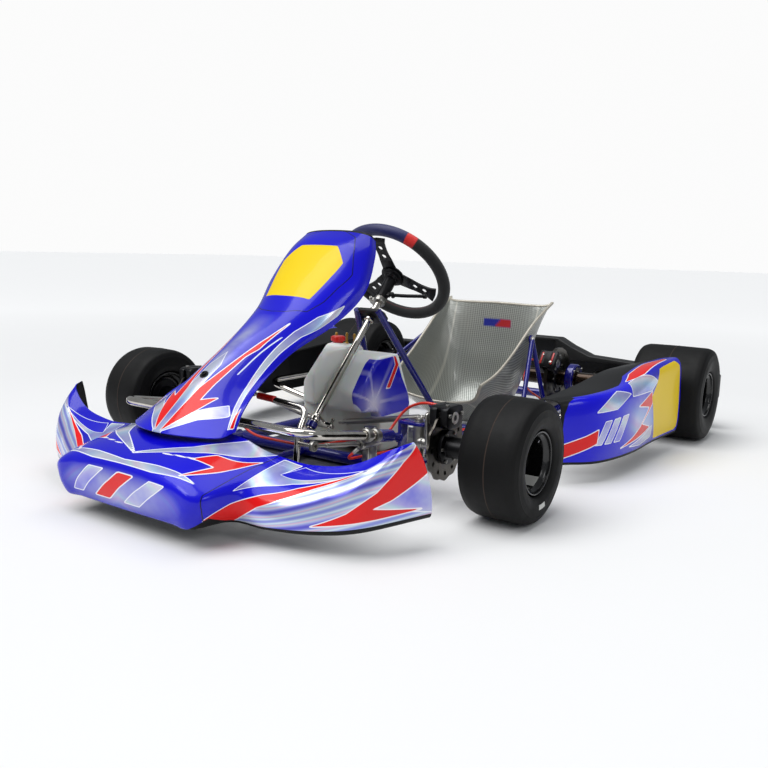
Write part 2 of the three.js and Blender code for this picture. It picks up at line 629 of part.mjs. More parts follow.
function fuelCap() {
  const z = TANK.top + 10 + GAP;
  return join(rod(CAP_AT.clone().setZ(z), CAP_AT.clone().setZ(z + 14), 23, 16),
    rod(CAP_AT.clone().setZ(z - 20), CAP_AT.clone().setZ(z + 2), 14, 16));
}

// ---------------------------------------------------------------- pedals and brakes
const PEDAL = { x: 205, y: -262, z: 92 };
const PULL_ROD = { x: 236, height: 58 };

function pedal() {
  const { x, y, z } = PEDAL;
  const arm = tube([V(x - 10, y, z), V(x - 14, y + 14, z + 80), V(x - 18, y + 46, 214),
    V(46, y + 50, 224)], 6.5, 34);
  return join(rod(V(x - 20, y, z), V(x + 12, y, z), 9, 12), arm);
}

function brakePedal() {
  const lug = rod(V(PEDAL.x - 14, PEDAL.y + 8, PEDAL.z + PULL_ROD.height),
    V(PULL_ROD.x + 4, PEDAL.y + 8, PEDAL.z + PULL_ROD.height), 4);
  return join(pedal(), lug);
}

const MASTER = { x: PULL_ROD.x, front: -100, rear: -24, z: 124 };

function brakePullRod() {
  const from = V(PULL_ROD.x, PEDAL.y + 8 + 10, PEDAL.z + PULL_ROD.height - 1);
  const to = V(MASTER.x, MASTER.front - 2, MASTER.z + 2);
  const eye = rod(V(PULL_ROD.x - 4, PEDAL.y + 8, PEDAL.z + PULL_ROD.height),
    V(PULL_ROD.x + 4, PEDAL.y + 8, PEDAL.z + PULL_ROD.height), 11, 12);
  const pinHole = rod(V(180, PEDAL.y + 8, PEDAL.z + PULL_ROD.height),
    V(300, PEDAL.y + 8, PEDAL.z + PULL_ROD.height), 5.6, 12);
  return cut(join(rod(from, to, 4), eye), pinHole);
}

function masterCylinder() {
  const { x, front, rear, z } = MASTER;
  const body = rod(V(x, front, z), V(x, rear, z), 13, 12);
  const reservoir = rod(V(x, -60, z), V(x, -60, z + 34), 15, 12);
  const foot = box(x - 10, x + 10, -78, -44, FRAME_Z + FRAME_RADIUS + 2, z);
  return join(body, reservoir, foot);
}

// Flexible hoses, from the master cylinder to each caliper.
const HOSE_RADIUS = 3.5;
const FRONT_PORT = V(FRONT_DISC.x - 22 - GAP, 27, 208);

function frontHose(side) {
  const port = V(side * FRONT_PORT.x, FRONT_PORT.y, FRONT_PORT.z);
  const start = side > 0 ? V(MASTER.x, MASTER.rear + 2, MASTER.z + 4) : V(MASTER.x - 13.4, -40, 124);
  const middle = side > 0
    ? [V(238, 8, 134), V(262, 40, 190), V(320, 27, 212)]
    : [V(180, -44, 118), V(60, -60, 84), V(-120, -60, 84), V(-236, -30, 130), V(-262, 40, 190),
      V(-320, 27, 212)];
  return tube([start, ...middle, port], HOSE_RADIUS, 40, 6);
}

function rearHose() {
  const route = [V(MASTER.x - 13.4, -80, 112), V(196, -96, 84), V(236, 60, 84), V(238, 300, 84),
    V(256, 460, 84), V(256, 860, 84), V(160, 890, 120), V(120, 968, 201),
    V(REAR_DISC.x - 30 - GAP, 968, 201)];
  return tube(route, HOSE_RADIUS, 40, 6);
}

function clutchLever() {
  const { x, z } = LEVER_AT;
  const barrel = rod(V(x, -7, z), V(x, 7, z), 6, 12);
  return onColumn(join(barrel, tube([V(x + 2, 0, z), V(66, 4, z + 3), V(130, 8, z + 10)], 5, 30)), 0);
}

// ---------------------------------------------------------------- assembly
add('main_frame', mainFrame(), FRAME_BLUE);
add('front_spoiler', spoiler(), BLUE);
add('front_panel', frontPanel(), BLUE);
addPair('side_pod', sidePod(), BLUE);
add('seat', seat(), FIBREGLASS);
add('rear_bumper', rearBumper(), BLACK);
addPair('rear_bumper_bracket', rearBumperBracket(), STEEL);
add('front_bumper_upper', frontBumperUpper(), CHROME);
add('front_bumper_lower', frontBumperLower(), CHROME);
addPair('side_bumper', sideBumper(), CHROME);
add('floor_tray', floorTray(), STEEL);
add('seat_stay_left', seatStay(292, 246), FRAME_BLUE);
add('seat_stay_right', seatStay(-292, -116), FRAME_BLUE);
add('panel_bracket', panelBracket(), STEEL);
add('fuel_tank', fuelTank(), TANK_WHITE);
add('fuel_cap', fuelCap(), RED);

add('steering_column', steeringColumn(), CHROME);
add('steering_hub', steeringHub(), BLACK);
add('steering_spokes', spokePlate(), BLACK);
add('steering_rim', steeringRim(), SUEDE);
addPair('spindle', spindle(), STEEL);
addPair('kingpin', kingpin(), STEEL);
addPair('track_rod', trackRod(), STEEL);

addPair('front_hub', frontHub(), BLACK);
addPair('front_rim', rimShell(FRONT, FRONT.centre, 0, FRONT_WHEEL_PLATE, 25), BLACK);
addPair('front_tyre', tyre(FRONT, FRONT.centre, 0), RUBBER);
addPair('front_disc', brakeDisc(FRONT_DISC, 31, 0, FRONT.radius), STEEL);
addPair('front_caliper', caliper(FRONT_DISC, 0, FRONT.radius, 0, 22), BLACK);

add('rear_axle', ring(-AXLE_HALF, AXLE_HALF, AXLE_BORE, AXLE_RADIUS, 16, 0, WHEELBASE, REAR.radius),
  DARK_AXLE);
addPair('bearing_hanger', bearingHanger(), FRAME_BLUE);
addPair('rear_hub', rearHub(), BLACK);
addPair('rear_rim', rimShell(REAR, REAR.centre, WHEELBASE, REAR_WHEEL_PLATE, 32), BLACK);
addPair('rear_tyre', tyre(REAR, REAR.centre, WHEELBASE), RUBBER);
add('rear_disc', brakeDisc(REAR_DISC, 53, WHEELBASE, REAR.radius), STEEL);
add('disc_carrier', discCarrier(), BLACK);
add('brake_pedal', brakePedal(), CHROME);
add('throttle_pedal', mirrored(pedal()), CHROME);
add('brake_pull_rod', brakePullRod(), STEEL);
add('master_cylinder', masterCylinder(), STEEL);
add('brake_hose_front_left', frontHose(1), RED);
add('brake_hose_front_right', frontHose(-1), RED);
add('brake_hose_rear', rearHose(), RED);
add('clutch_lever', clutchLever(), BLACK);
add('rear_caliper', caliper(REAR_DISC, WHEELBASE, REAR.radius, 0.9, 30), BLACK);

const whole = new THREE.Group();
kart.position.y = -(LENGTH_REAR - LENGTH_FRONT) / 2;
whole.add(kart);
whole.updateMatrixWorld(true);

export default whole;
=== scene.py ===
"""Racing kart chassis with front brakes: its bodywork, tubes, wheels and controls."""
import math

import bmesh
import bpy
import numpy as np
from mathutils import Matrix, Vector


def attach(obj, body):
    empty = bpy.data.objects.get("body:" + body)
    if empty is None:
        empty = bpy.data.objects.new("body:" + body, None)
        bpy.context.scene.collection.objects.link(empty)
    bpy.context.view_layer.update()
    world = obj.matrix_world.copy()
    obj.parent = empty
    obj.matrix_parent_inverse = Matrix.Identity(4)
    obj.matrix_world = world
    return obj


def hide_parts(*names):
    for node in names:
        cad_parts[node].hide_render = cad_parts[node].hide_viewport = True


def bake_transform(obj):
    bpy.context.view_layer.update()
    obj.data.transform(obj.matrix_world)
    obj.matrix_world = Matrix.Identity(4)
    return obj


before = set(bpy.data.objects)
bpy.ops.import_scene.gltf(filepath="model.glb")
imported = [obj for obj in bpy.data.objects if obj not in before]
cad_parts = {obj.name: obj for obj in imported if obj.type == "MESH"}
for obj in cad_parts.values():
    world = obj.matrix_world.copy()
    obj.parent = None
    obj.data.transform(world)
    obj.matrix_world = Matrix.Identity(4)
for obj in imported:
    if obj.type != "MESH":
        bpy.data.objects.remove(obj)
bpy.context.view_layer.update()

# Drawing axes are in millimetres with the front axle at y = 0, X to the driver's left.
FRONT_AXLE = np.array([0.0, -0.377, 0.0])
SIDES = {"left": 1, "right": -1}


def metres(points):
    """Drawing millimetres to the frame's metres: a thousandth, then the front axle's offset."""
    return np.asarray(points, float) / 1000 + FRONT_AXLE


# ------------------------------------------------------------------ curves and grids
def through(points, count):
    """Curve through the first axis of points, read at count + 1 even steps: on each span a
    cubic whose end slopes are half the difference between the neighbours on either side."""
    p = np.asarray(points, float)
    pad = np.concatenate([[2 * p[0] - p[1]], p, [2 * p[-1] - p[-2]]])
    t = np.linspace(0, len(p) - 1, count + 1)
    k = np.minimum(t.astype(int), len(p) - 2)
    w = (t - k).reshape((-1,) + (1,) * (p.ndim - 1))
    a, b, c, d = pad[k], pad[k + 1], pad[k + 2], pad[k + 3]
    start, end = (c - a) / 2, (d - b) / 2
    return b + start * w + (3 * (c - b) - 2 * start - end) * w**2 + (2 * (b - c) + start + end) * w**3


def smooth_grid(net, rows, columns):
    """The same curve along both directions of a net of control points."""
    across = through(np.swapaxes(np.asarray(net, float), 0, 1), columns)
    return through(np.swapaxes(across, 0, 1), rows)


def bent(corners, reach, steps=8, closed=False):
    """Straight runs between corners, each corner replaced by the quadratic curve that starts
    and ends at most reach away from it: (1-t)^2 start + 2t(1-t) corner + t^2 end."""
    c = np.asarray(corners, float)
    before, after = np.roll(c, 1, 0), np.roll(c, -1, 0)
    to_before, to_after = before - c, after - c
    size_b = np.linalg.norm(to_before, axis=1, keepdims=True)
    size_a = np.linalg.norm(to_after, axis=1, keepdims=True)
    cut = np.minimum(reach, 0.48 * np.minimum(size_b, size_a))
    start, end = c + to_before / size_b * cut, c + to_after / size_a * cut
    t = np.linspace(0, 1, steps + 1)[None, :, None]
    arcs = (1 - t)**2 * start[:, None] + 2 * t * (1 - t) * c[:, None] + t**2 * end[:, None]
    if closed:
        return arcs.reshape(-1, c.shape[1])
    return np.concatenate([c[:1], arcs[1:-1].reshape(-1, c.shape[1]), c[-1:]])


def even(path, step):
    """A polyline read again at even distances along it."""
    p = np.asarray(path, float)
    run = np.concatenate([[0], np.cumsum(np.linalg.norm(np.diff(p, axis=0), axis=1))])
    at = np.linspace(0, run[-1], max(2, int(round(run[-1] / step)) + 1))
    return np.stack([np.interp(at, run, p[:, k]) for k in range(p.shape[1])], 1)


# ------------------------------------------------------------------ shapes: (points, faces)
def quads(n, m, ring_n=False, ring_m=False):
    """Corner numbers of the cells of an n by m grid, with either direction closed on itself."""
    rows, columns = (n if ring_n else n - 1), (m if ring_m else m - 1)
    i, j = np.meshgrid(np.arange(rows), np.arange(columns), indexing="ij")
    a, b = (i + 1) % n, (j + 1) % m
    return np.stack([i * m + j, a * m + j, a * m + b, i * m + b], -1).reshape(-1, 4)


def tell_way(points, faces):
    """Turns a closed shape's faces outwards: the sum of corner . (next x next) is its volume."""
    volume = 0.0
    for size in {len(f) for f in faces}:
        p = points[np.array([f for f in faces if len(f) == size])]
        for k in range(1, size - 1):
            volume += np.einsum("ij,ij->", p[:, 0], np.cross(p[:, k], p[:, k + 1]))
    return faces if volume > 0 else [f[::-1] for f in faces]


def shape(points, faces):
    """Points and faces as a closed shape with its faces outwards."""
    faces = faces.tolist() if isinstance(faces, np.ndarray) else faces
    return points, tell_way(points - points.mean(0), [tuple(f) for f in faces])


def rings(grid, closed_path=False):
    """A grid whose rows are rings, with flat ends where the path isn't closed."""
    n, m = grid.shape[:2]
    faces = quads(n, m, closed_path, True).tolist()
    if not closed_path:
        faces += [tuple(range(m)), tuple(range((n - 1) * m, n * m))[::-1]]
    return shape(grid.reshape(-1, 3), faces)


# Two directions that lie along no axis, to start from where a path is straight.
ASKEW, ASKEW_TOO = np.array([0.3, 0.5, 0.8]), np.array([0.31, 0.57, 0.76])


def pipe(path, radius, sides=18, closed=False, edge=0.0):
    """A circle of the given radius carried along a path: path + radius (cos a, sin a) in the
    plane across the path. A small edge radius rounds both ends."""
    p = np.asarray(path, float)
    if closed:
        t = np.gradient(np.concatenate([p[-2:-1], p, p[1:2]]), axis=0)[1:-1]
    else:
        t = np.gradient(p, axis=0)
    t = t / np.linalg.norm(t, axis=1, keepdims=True)
    r = np.broadcast_to(np.asarray(radius, float), len(p)).copy()
    if edge and not closed:
        p = np.concatenate([p[:1], p[:1] + t[:1] * edge, p[1:-1], p[-1:] - t[-1:] * edge, p[-1:]])
        r = np.concatenate([[r[0] - edge], r, [r[-1] - edge]])
        t = np.concatenate([t[:1], t, t[-1:]])
    flattest = np.linalg.svd(t, full_matrices=False)[2][-1] if len(p) > 2 else ASKEW
    if np.abs(t @ flattest).max() > 0.95:
        flattest = np.cross(t[0], ASKEW_TOO)
    side = np.cross(t, flattest)
    side /= np.linalg.norm(side, axis=1, keepdims=True)
    other = np.cross(t, side)
    a = np.linspace(0, 2 * np.pi, sides, endpoint=False)[None, :, None]
    grid = p[:, None] + r[:, None, None] * (np.cos(a) * side[:, None] + np.sin(a) * other[:, None])
    return rings(grid[:-1] if closed else grid, closed)


def rod(a, b, radius, sides=20, edge=0.6):
    """A round bar between two points, with its end edges rounded."""
    return pipe([a, b], radius, sides, edge=min(edge, radius * 0.4))


def axes_from(direction):
    """Two unit vectors across a direction, and the direction itself."""
    z = np.asarray(direction, float) / np.linalg.norm(direction)
    x = np.cross([0, 0, 1], z) if abs(z[2]) < 0.9 else np.cross([0, 1, 0], z)
    x /= np.linalg.norm(x)
    return np.stack([x, np.cross(z, x), z])


def turned(profile, origin=(0, 0, 0), axis=(1, 0, 0), sides=64, closed=True):
    """A section of (along, radius) pairs turned about an axis."""
    s = np.asarray(profile, float)
    x, y, z = axes_from(axis)
    a = np.linspace(0, 2 * np.pi, sides, endpoint=False)[:, None, None]
    grid = np.asarray(origin) + s[None, :, 0:1] * z + s[None, :, 1:2] * (np.cos(a) * x + np.sin(a) * y)
    if closed:
        return shape(grid.reshape(-1, 3), quads(sides, len(s), True, True))
    return rings(np.swapaxes(grid, 0, 1))


def plate(outline, thick, edge=0.8, lift=0.0):
    """A flat plate in XY with rounded edges: four copies of its outline, the end two inset."""
    o = np.asarray(outline, float)
    if (o[:, 0] * np.roll(o[:, 1], -1) - o[:, 1] * np.roll(o[:, 0], -1)).sum() < 0:
        o = o[::-1]
    step = np.roll(o, -1, 0) - np.roll(o, 1, 0)
    step /= np.maximum(np.linalg.norm(step, axis=1, keepdims=True), 1e-9)
    inward = np.stack([-step[:, 1], step[:, 0]], 1)
    stack = [(edge, 0), (edge * 0.3, edge * 0.3), (0, edge), (0, thick - edge),
             (edge * 0.3, thick - edge * 0.3), (edge, thick)]
    grid = np.stack([np.column_stack([o + inward * d, np.full(len(o), z + lift)]) for d, z in stack])
    return rings(grid)


def oblong(width, height, corner):
    """Outline of a rectangle about the origin with round corners."""
    w, h = width / 2, height / 2
    return bent([(-w, -h), (w, -h), (w, h), (-w, h)], corner * 1.3, 5, closed=True)


def block(x0, x1, y0, y1, z0, z1, edge=1.5):
    """A box with rounded edges."""
    base = plate(oblong(x1 - x0, y1 - y0, edge * 2), z1 - z0, edge)
    return base[0] + [(x0 + x1) / 2, (y0 + y1) / 2, z0], base[1]


def laid(part, origin=(0, 0, 0), x=(1, 0, 0), y=(0, 1, 0)):
    """A shape drawn in XY, laid on the plane through origin with these two directions."""
    z = np.cross(x, y)
    return part[0] @ np.stack([x, y, z]).astype(float) + np.asarray(origin, float), part[1]


def mirrored(part):
    """A shape on the kart's other side."""
    return part[0] * [-1, 1, 1], [f[::-1] for f in part[1]]


def sided(part, sign):
    return part if sign > 0 else mirrored(part)


def moved(part, offset):
    return part[0] + np.asarray(offset, float), part[1]


def about(part, axis, angle, origin=(0, 0, 0)):
    """A shape turned about an axis through origin."""
    m = np.array(Matrix.Rotation(angle, 3, Vector(axis)))
    return (part[0] - origin) @ m.T + origin, part[1]


def together(*parts):
    """Several shapes as one list of points and faces."""
    points, faces, count = [], [], 0
    for p, f in parts:
        points.append(p)
        faces += [tuple(k + count for k in face) for face in f]
        count += len(p)
    return np.concatenate(points), faces


def pierced(border, centre, hole, half, walls, count=32, loops=3):
    """A flat tile with a round hole. Its border is a function of (a, b) on the square from -1
    to 1; each ray from the hole's middle is divided evenly from the hole's rim to the border."""
    angle = np.arange(count) * 2 * np.pi / count
    ray = np.stack([np.cos(angle), np.sin(angle)], 1)
    ab = ray / np.abs(ray).max(1, keepdims=True)
    edge, rim = border(ab[:, 0], ab[:, 1]), np.asarray(centre) + hole * ray
    w = np.linspace(0, 1, loops + 1)[:, None, None]
    flat = (1 - w) * rim + w * edge
    top = np.concatenate([flat, np.full(flat.shape[:2] + (1,), half)], 2).reshape(-1, 3)
    points = np.concatenate([top, top * [1, 1, -1]])
    n = len(top)
    upper = quads(loops + 1, count, False, True)
    faces = [tuple(f) for f in upper] + [tuple(f[::-1] + n) for f in upper]
    k = np.arange(count)
    after = (k + 1) % count
    faces += [tuple(f) for f in np.stack([k, after, after + n, k + n], 1)]
    out = loops * count
    middle = (ab + np.roll(ab, -1, 0)) / 2
    for wall, along, way in (("low", 1, -1), ("high", 1, 1), ("start", 0, -1), ("end", 0, 1)):
        if wall in walls:
            test = middle[:, along] * way > 0.97
            j, next_j = k[test] + out, after[test] + out
            faces += [tuple(f) for f in np.stack([j, j + n, next_j + n, next_j], 1)]
    return points, faces


def ring_of(tile, count):
    """A tile repeated round the Z axis."""
    return together(*[about(tile, (0, 0, 1), 2 * math.pi * k / count) for k in range(count)])


def drilled_ring(inner, outer, holes, hole, at, half, wave=0.0, waves=0):
    """A flat ring with a round of holes; its outer radius may ripple by wave, waves times."""
    def border(a, b):
        angle = a * math.pi / holes
        edge = outer + wave * np.cos(waves * angle)
        radius = np.where(b > 0, at + b * (edge - at), at + b * (at - inner))
        return np.stack([radius * np.cos(angle), radius * np.sin(angle)], 1)
    return ring_of(pierced(border, (at, 0), hole, half, ("low", "high")), holes)


def hex_nut(origin, axis, across, height):
    """A hexagonal nut or bolt head with a round chamfer, standing on a plane."""
    a = np.arange(6) * math.pi / 3
    r = across / math.sqrt(3)
    base = plate(bent(np.stack([r * np.cos(a), r * np.sin(a)], 1), 0.6, 2, closed=True), height, 0.7)
    x, y, _ = axes_from(axis)
    return laid(base, origin, x, y)


def cap_screw(origin, axis, radius, height):
    """A socket-head screw: a drum with a rounded edge and a six-sided recess."""
    x, y, z = axes_from(axis)
    a = np.linspace(0, 2 * np.pi, 24, endpoint=False)
    recess = radius * 0.52 * (1 - 0.06 * np.cos(6 * a))
    levels = [(radius, 0), (radius, height - 0.5), (radius - 0.5, height), (recess, height),
              (recess, height * 0.45)]
    grid = np.stack([np.column_stack([r * np.cos(a), r * np.sin(a), np.full(24, h)]) for r, h in levels])
    return laid(rings(grid), origin, x, y)


def ball_joint(origin, axis, rod_way, size):
    """A rod-end eye: a rounded drum about the pin, and the threaded neck towards the rod."""
    eye = turned(bent([(-size * 0.5, size * 0.45), (size * 0.5, size * 0.45), (size * 0.62, size * 0.8),
                       (size * 0.45, size), (-size * 0.45, size), (-size * 0.62, size * 0.8)],
                      size * 0.2, 3, closed=True), origin, axis, 32)
    way = np.asarray(rod_way, float) / np.linalg.norm(rod_way)
    neck = rod(np.asarray(origin) + way * size * 0.9, np.asarray(origin) + way * size * 2.4, size * 0.42)
    return together(eye, neck)


# ------------------------------------------------------------------ finishes
class Value:
    """A node's output that sums can be written with: each operation adds one Math node."""

    def __init__(self, finish, socket):
        self.finish, self.socket = finish, socket

    def _sum(self, operation, *terms):
        return self.finish.node("ShaderNodeMath", {"operation": operation}, dict(enumerate(terms)))

    def __add__(self, other):
        return self._sum("ADD", self, other)

    def __radd__(self, other):
        return self._sum("ADD", other, self)

    def __sub__(self, other):
        return self._sum("SUBTRACT", self, other)

    def __rsub__(self, other):
        return self._sum("SUBTRACT", other, self)

    def __mul__(self, other):
        return self._sum("MULTIPLY", self, other)

    def __rmul__(self, other):
        return self._sum("MULTIPLY", other, self)

    def __truediv__(self, other):
        return self._sum("DIVIDE", self, other)

    def wave(self):
        return self._sum("SINE", self)

    def size(self):
        return self._sum("ABSOLUTE", self)

    def power(self, other):
        return self._sum("POWER", self, other)

    def most(self, other):
        return self._sum("MAXIMUM", self, other)

    def held(self):
        """The value kept between 0 and 1."""
        return self.finish.node("ShaderNodeMath", {"operation": "ADD", "use_clamp": True}, {0: self, 1: 0.0})


def tint(text):
    """A colour written as six hexadecimal digits, in linear light."""
    parts = [int(text[k:k + 2], 16) / 255 for k in (0, 2, 4)]
    return tuple(c / 12.92 if c <= 0.04045 else ((c + 0.055) / 1.055)**2.4 for c in parts) + (1.0,)


class Finish:
    """A material and its nodes."""

    def __init__(self, name, **uniform):
        self.material = bpy.data.materials.new(name)
        self.material.use_nodes = True
        self.tree = self.material.node_tree
        self.shader = next(n for n in self.tree.nodes if n.type == "BSDF_PRINCIPLED")
        for label, value in uniform.items():
            self.shader.inputs[label.replace("_", " ")].default_value = value

    def node(self, kind, settings=None, sockets=None, out=0):
        """Adds a node: its settings are set first, then its sockets get values or links."""
        made = self.tree.nodes.new(kind)
        for label, value in (settings or {}).items():
            if label == "stops":
                ramp = made.color_ramp
                while len(ramp.elements) < len(value):
                    ramp.elements.new(0.5)
                for element, (place, colour) in zip(ramp.elements, value):
                    element.position, element.color = place, tint(colour)
            else:
                setattr(made, label, value)
        for key, value in (sockets or {}).items():
            if isinstance(value, Value):
                self.tree.links.new(value.socket, made.inputs[key])
            else:
                made.inputs[key].default_value = value
        return Value(self, made.outputs[out])

    def gives(self, **links):
        """Feeds the shader's own sockets."""
        for label, value in links.items():
            self.tree.links.new(value.socket, self.shader.inputs[label.replace("_", " ")])
        return self

    def where(self):
        """The place on the object, in metres."""
        return self.node("ShaderNodeTexCoord", out=3)

    def cloth(self):
        """The place on the laid-out cloth."""
        return self.node("ShaderNodeTexCoord", out=2)

    def mark(self, name):
        """A number that the mesh holds for every point."""
        return self.node("ShaderNodeAttribute", {"attribute_name": name}, out=2)

    def noise(self, scale, detail=3.0, rough=0.5, stretch=None, place=None):
        place = place or self.where()
        if stretch:
            place = self.node("ShaderNodeMapping", None, {0: place, 3: stretch})
        sockets = {"Vector": place, "Scale": scale, "Detail": detail, "Roughness": rough}
        return self.node("ShaderNodeTexNoise", None, sockets)

    def part_of(self, vector, axis):
        return self.node("ShaderNodeSeparateXYZ", None, {0: vector}, out=axis)

    def ramp(self, value, *stops):
        return self.node("ShaderNodeValToRGB", {"stops": stops}, {0: value})

    def mix(self, factor, a, b, kind="MIX"):
        a, b = (tint(c) if isinstance(c, str) else c for c in (a, b))
        settings = {"data_type": "RGBA", "blend_type": kind}
        return self.node("ShaderNodeMix", settings, {0: factor, 6: a, 7: b}, out=2)

    def bump(self, height, strength, distance=0.001):
        sockets = {"Strength": strength, "Distance": distance, "Height": height}
        return self.node("ShaderNodeBump", None, sockets)


def plain(name, dark, light, roughness, spread=0.1, grain=60.0, metallic=0.0, bump=0.15, coat=0.0, **uniform):
    """A finish whose colour wanders between two tones, with a fine grain and small scuffs."""
    f = Finish(name, Metallic=metallic, Coat_Weight=coat, **uniform)
    cloud, fine = f.noise(7.0, 4.0, 0.6), f.noise(grain * 12, 4.0, 0.65)
    scuffs = ((f.noise(38.0, 6.0, 0.7, (1.0, 2.5, 1.0)) - 0.58) * 9).held()
    f.gives(Base_Color=f.mix((cloud * 1.6 - 0.3).held(), dark, light),
            Roughness=cloud * spread + (roughness - spread / 2) + scuffs * spread * 0.8,
            Normal=f.bump(fine, bump, 0.0004))
    return f.material


def body_print():
    """Moulded bodywork under printed film, with a painted highlight (a soft silver foil blush) and
    painted shade along moulded creases. Each print mark on the mesh is a distance in millimetres
    to the edge of one printed shape, positive inside; colours are laid one over another."""
    f = Finish("printed_bodywork", Coat_Roughness=0.05, Specular_IOR_Level=0.22)

    def inside(name, grow=0.0):
        return ((f.mark(name) + grow) * 1.6 + 0.5).held()

    cloud = f.noise(3.0, 2.0, 0.5)
    base = f.mix((cloud * 1.8 - 0.4).held(), "0502a4", "0a04dc")
    flow = f.mark("flow") + f.noise(4.5, 2.0, 0.5) * 0.5
    sheen = f.ramp((flow * 2.4).wave() * 0.5 + 0.5, (0.0, "7c7cdc"), (0.2, "a8a2e2"), (0.36, "bcdce0"),
                   (0.5, "e2c4dc"), (0.64, "e4e8f4"), (0.8, "a4ccf2"), (1.0, "8482de"))
    foil = f.mix((f.noise(11.0, 3.0, 0.6) * 2.6 - 0.9).held(), sheen, "c9cfe2")
    # Painted highlight: a soft silver foil blush laid where the surface would catch the light.
    base = f.mix(f.mark("glow").held(), base, foil)
    streaks = f.ramp((f.mark("streak") * 5.2 + cloud * 1.4).wave() * 0.5 + 0.5, (0.0, "5c58c8"),
                     (0.14, "9498e2"), (0.34, "c4cce2"), (0.5, "dcb4d0"), (0.64, "b4c2e6"), (0.84, "d8e8f0"),
                     (1.0, "8c96e0"))
    base = f.mix(inside("field"), base, streaks)
    base = f.mix(inside("silver", 1.6), base, "f2f4fa")
    base = f.mix(inside("silver", -0.4), base, foil)
    base = f.mix(inside("blue", 1.4), base, "e8ecf8")
    base = f.mix(inside("blue"), base, "1512c4")
    base = f.mix(inside("red", 2.2), base, "f6f4f8")
    base = f.mix(inside("red"), base, "e40808")
    base = f.mix(inside("line"), base, "e6ecfa")
    base = f.mix(inside("yellow"), base, f.mix(cloud, "e6c200", "f4d400"))
    # Painted shade: a dark line along each moulded crease, with a groove bumped in.
    seam = (1.9 - f.mark("seam").size() * 1.3).held()
    base = f.mix(seam, base, "060428")
    bare = inside("bare")
    base = f.mix(bare, base, f.mix(f.noise(30.0), "050506", "0e0e10"))
    shine = inside("silver", -0.4).most(f.mark("glow").held()).most(inside("field")) * (1 - bare)
    f.gives(Base_Color=base, Metallic=shine * (1 - inside("red").most(inside("yellow"))) * 0.45,
            Roughness=0.2 + cloud * 0.08 + bare * 0.3 + inside("yellow") * 0.12,
            Coat_Weight=0.32 - bare * 0.27 - inside("yellow") * 0.2,
            Normal=f.bump(f.noise(140.0, 2.0) * 0.25 + f.noise(900.0, 2.0) * bare - seam * 1.5,
                          0.12, 0.0012))
    return f.material


def rubber():
    """Slick tyre: near-black with brown dust, fine mould lines round the tread and a seam."""
    f = Finish("tyre_rubber", Specular_IOR_Level=0.22)
    turn, across = f.mark("turn"), f.mark("across")
    dust = (f.noise(9.0, 5.0, 0.65) * 2.2 - 0.9).held()
    base = f.mix(dust * 0.5, "040405", "100f0e")
    seam = (1 - (across.size() * 560).held())
    base = f.mix(seam * 0.75, base, "4a3c34")
    lines = (across * 2600).wave() * 0.5 + 0.5
    f.gives(Base_Color=base, Roughness=0.5 + dust * 0.2 + f.noise(60.0) * 0.1,
            Normal=f.bump(lines * 0.18 + f.noise(260.0, 4.0) * 0.8 + (turn * 48).wave() * 0.06,
                          0.35, 0.0006))
    return f.material


def chrome():
    """Plated tube: a warm mirror with faint smears."""
    f = Finish("chrome_plate", Metallic=1.0)
    smear = f.noise(16.0, 5.0, 0.65, (1.0, 3.0, 1.0))
    f.gives(Base_Color=f.mix((smear * 2 - 0.5).held(), "b9b2a8", "e4e0da"), Roughness=0.05 + smear * 0.1,
            Normal=f.bump(f.noise(22.0, 2.0), 0.05, 0.001))
    return f.material


def disc_steel():
    """Brake disc ground in circles: rings of roughness and tone round the axle."""
    f = Finish("disc_steel", Metallic=1.0)
    ring = f.mark("reach")
    place = f.node("ShaderNodeCombineXYZ", None, {0: ring * 1400, 1: 0.0, 2: 0.0})
    lines = f.noise(1.0, 3.0, 0.7, None, place)
    f.gives(Base_Color=f.mix(lines, "34312e", "6c6862"), Roughness=0.2 + lines * 0.22,
            Normal=f.bump(lines, 0.2, 0.0003))
    return f.material


def glass_cloth():
    """Moulded seat: silver glass cloth under clear resin, in slanted ribs a few millimetres
    apart, with paler lines where the cloth is lapped."""
    f = Finish("glass_cloth", Coat_Weight=0.5, Coat_Roughness=0.12)
    u, v = f.part_of(f.cloth(), 0), f.part_of(f.cloth(), 1)
    wobble = f.noise(9.0, 2.0) * 5
    rib = ((v * 1250 + u * 420 + wobble).wave() * 0.5 + 0.5).power(1.4)
    cross = (u * 1500 - v * 260).wave() * 0.5 + 0.5
    weave = rib * 0.72 + cross * 0.28
    cloud = f.noise(5.0, 3.0)
    base = f.mix(weave, f.mix(cloud, "5a5f5e", "7c7b74"), f.mix(cloud, "a6aeaa", "cccbc2"))
    base = f.mix(f.mark("lap").held() * 0.7, base, "dedace")
    base = f.mix(f.mark("label_blue").held(), base, "12209a")
    base = f.mix(f.mark("label_red").held(), base, "c01820")
    f.gives(Base_Color=base, Metallic=0.25 + weave * 0.25, Roughness=0.42 - weave * 0.14,
            Normal=f.bump(weave, 0.55, 0.0009))
    return f.material


def suede():
    """Wheel grip: black suede with a nap, blue leather over the top and a red band each side."""
    f = Finish("grip_suede", Sheen_Weight=0.25, Sheen_Roughness=0.5)
    place = f.mark("arc")
    top = ((0.62 - place) * 60).held()
    band = ((0.80 - place) * 60).held() * (1 - top)
    nap = f.noise(420.0, 4.0, 0.7)
    base = f.mix(nap, "08080a", "161618")
    base = f.mix(top, base, f.mix(nap, "070b3c", "0d1668"))
    base = f.mix(band, base, f.mix(nap, "c0100e", "e62018"))
    stitch = 1 - (f.mark("stitch").size() * 0.7).held()
    base = f.mix(stitch * (1 - top), base, "5c1216")
    f.gives(Base_Color=base, Roughness=0.86 - (top + band) * 0.4, Normal=f.bump(nap, 0.5, 0.0006))
    return f.material


